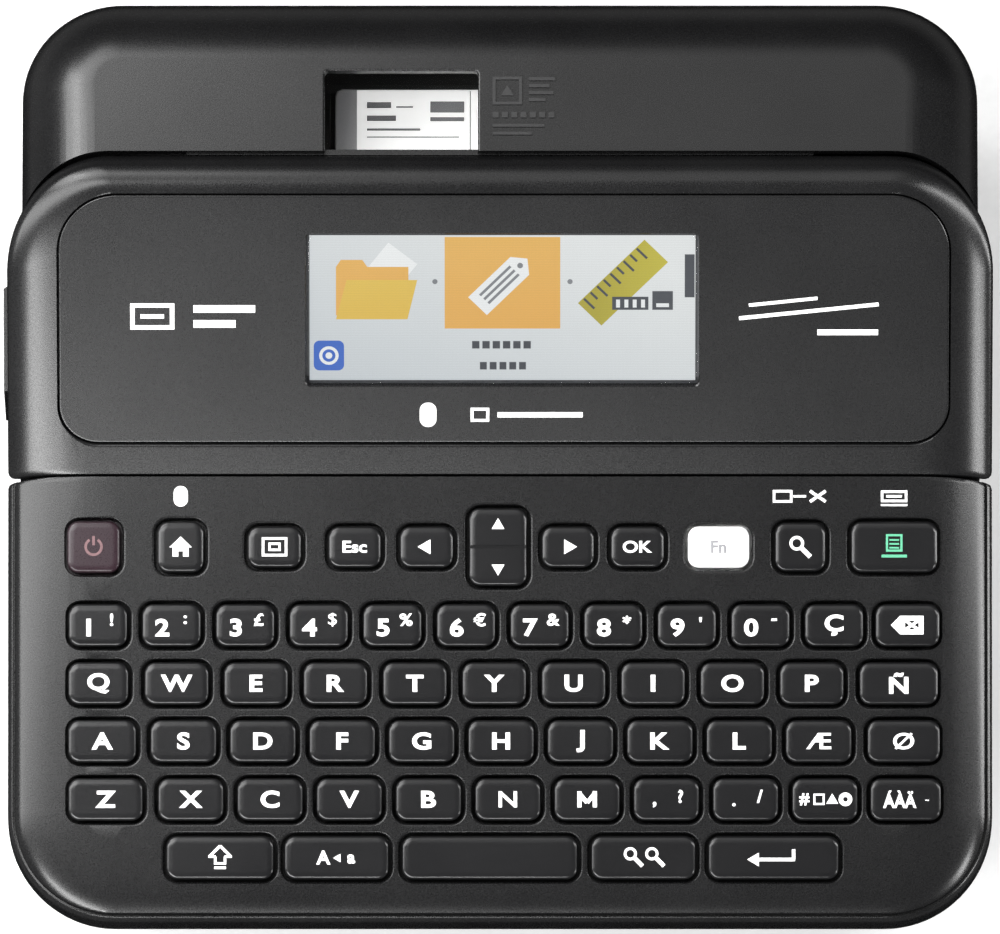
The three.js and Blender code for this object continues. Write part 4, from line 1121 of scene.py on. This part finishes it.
# plain printed bars on the cassette's paper label, from its left rear corner
label_lo, label_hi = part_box("cassette_label")
label_x, label_y = label_lo.x / MM - CENTRE_X, label_hi.y / MM - CENTRE_Y
border_x = WIN_X1 - 1.6 - label_x
LABEL_BARS = [
    (2, -3.2, 7, -3.2, 1.3), (8, -3.6, 11.5, -3.6, 0.35), (2, -6.0, 8, -6.0, 1.2),
    (2, -8.4, 13, -8.4, 0.5), (15, -3.6, 22, -3.6, 2.4), (15, -6.2, 22, -6.2, 0.9),
    (2, -10.0, 21, -10.0, 0.25), (border_x, -0.2, border_x, -20, 0.22),
]
marks("label_marks", [bar(*line) for line in LABEL_BARS],
      on(HOUSING, label_x, label_y, label_hi.z / MM + 0.01), "base", ink_dark, slot="paper")

# ---------- floor, light, camera ----------
FLOOR_SIZE, FLOOR_CELLS = 14.0, 8
steps = [FLOOR_SIZE * (i / FLOOR_CELLS - 0.5) for i in range(FLOOR_CELLS + 1)]
corners = [(x, y, 0.0) for y in steps for x in steps]
squares = []
for j in range(FLOOR_CELLS):
    for i in range(FLOOR_CELLS):
        first = j * (FLOOR_CELLS + 1) + i
        squares.append((first, first + 1, first + FLOOR_CELLS + 2, first + FLOOR_CELLS + 1))
floor_mesh = bpy.data.meshes.new("floor")
floor_mesh.from_pydata(corners, [], squares)
floor = bpy.data.objects.new("floor", floor_mesh)
collection.objects.link(floor)
floor_mesh.materials.append(self_lit(moulded(
    "floor_paper", (0.62, 0.62, 0.62), (0.66, 0.66, 0.66), (0.8, 0.95), 2.0, 0.05, 0.1,
), (1, 1, 1), 0.16))
floor.visible_glossy = False

scene = bpy.context.scene
scene.view_settings.view_transform = "Standard"
world = bpy.data.worlds.new("studio")
scene.world = world
world.use_nodes = True
tree = world.node_tree
direction = add(tree, "ShaderNodeTexCoord", {}).outputs["Generated"]
# direction, inner and outer angle, brightness: a window overhead, a dim dome, a low ring all round
PATCHES = [
    ((-0.13, 0.32, 1.0), 3, 29, 1.2),
    ((0.0, 0.0, 1.0), 30, 88, 0.06),
    ((0.0, 0.0, -1.0), 75, 100, 0.2),
    ((0.0, 0.0, -1.0), 45, 62, -0.2),
]


def dome_patch(toward, inner, outer, level):
    """A soft round patch of the studio's dome: full inside one angle, nothing past the other."""
    along = dot(tree, direction, Vector(toward).normalized())
    dark, full = math.cos(math.radians(outer)), math.cos(math.radians(inner))
    return spread(tree, along, 0, level, dark, full, interpolation_type="SMOOTHSTEP")


total = dome_patch(*PATCHES[0])
for patch in PATCHES[1:]:
    total = maths(tree, "ADD", total, dome_patch(*patch))
wire(tree, tree.nodes["Background"], {"Color": (1.0, 0.995, 0.985), "Strength": total})

# name: place, target, width, depth, power
SOFTBOXES = {
    "light_left": ((-0.42, -0.02, 0.42), (-0.09, 0, 0.04), 0.2, 0.8, 4.8),
    "light_front_left": ((-0.29, -0.36, 0.30), (-0.09, 0.03, 0.06), 0.3, 0.12, 2.4),
    "light_front": ((-0.10, -0.62, 0.36), (-0.03, 0.03, 0.06), 0.3, 0.1, 2.4),
    "light_rear_left": ((-0.36, 0.22, 0.42), (-0.08, 0.06, 0.07), 0.2, 0.2, 1.4),
    "light_rear": ((-0.20, 0.26, 0.44), (-0.06, 0.06, 0.07), 0.24, 0.2, 1.0),
    "light_right": ((0.50, 0.0, 0.23), (0.08, 0, 0.04), 0.08, 0.8, 3.2),
    "light_front_right": ((0.44, -0.25, 0.19), (0.09, 0.0, 0.05), 0.1, 0.16, 1.0),
}
for name, (place, target, width, depth, power) in SOFTBOXES.items():
    lamp = bpy.data.lights.new(name, "AREA")
    lamp.shape = "RECTANGLE"
    lamp.size, lamp.size_y = width, depth
    lamp.energy = power
    obj = bpy.data.objects.new(name, lamp)
    obj.location = place
    obj.rotation_mode = "QUATERNION"
    obj.rotation_quaternion = (Vector(target) - Vector(place)).to_track_quat("-Z", "Y")
    obj.visible_camera = False
    collection.objects.link(obj)

LENS, SENSOR, FRAME_WIDTH = 1000.0, 36.0, 0.2047
CAMERA_TILT = math.radians(75)
camera_data = bpy.data.cameras.new("camera")
camera = bpy.data.objects.new("camera", camera_data)
collection.objects.link(camera)
camera_data.lens = LENS
camera_data.sensor_width = SENSOR
aim = Vector((CENTRE_X * MM, -0.0003, 0.045))
back = Vector((0, -math.cos(CAMERA_TILT), math.sin(CAMERA_TILT)))
camera.location = aim + back * (LENS / SENSOR * FRAME_WIDTH)
camera.rotation_mode = "QUATERNION"
camera.rotation_quaternion = (-back).to_track_quat("-Z", "Y")
camera_data.clip_start, camera_data.clip_end = 0.1, 50
scene.camera = camera
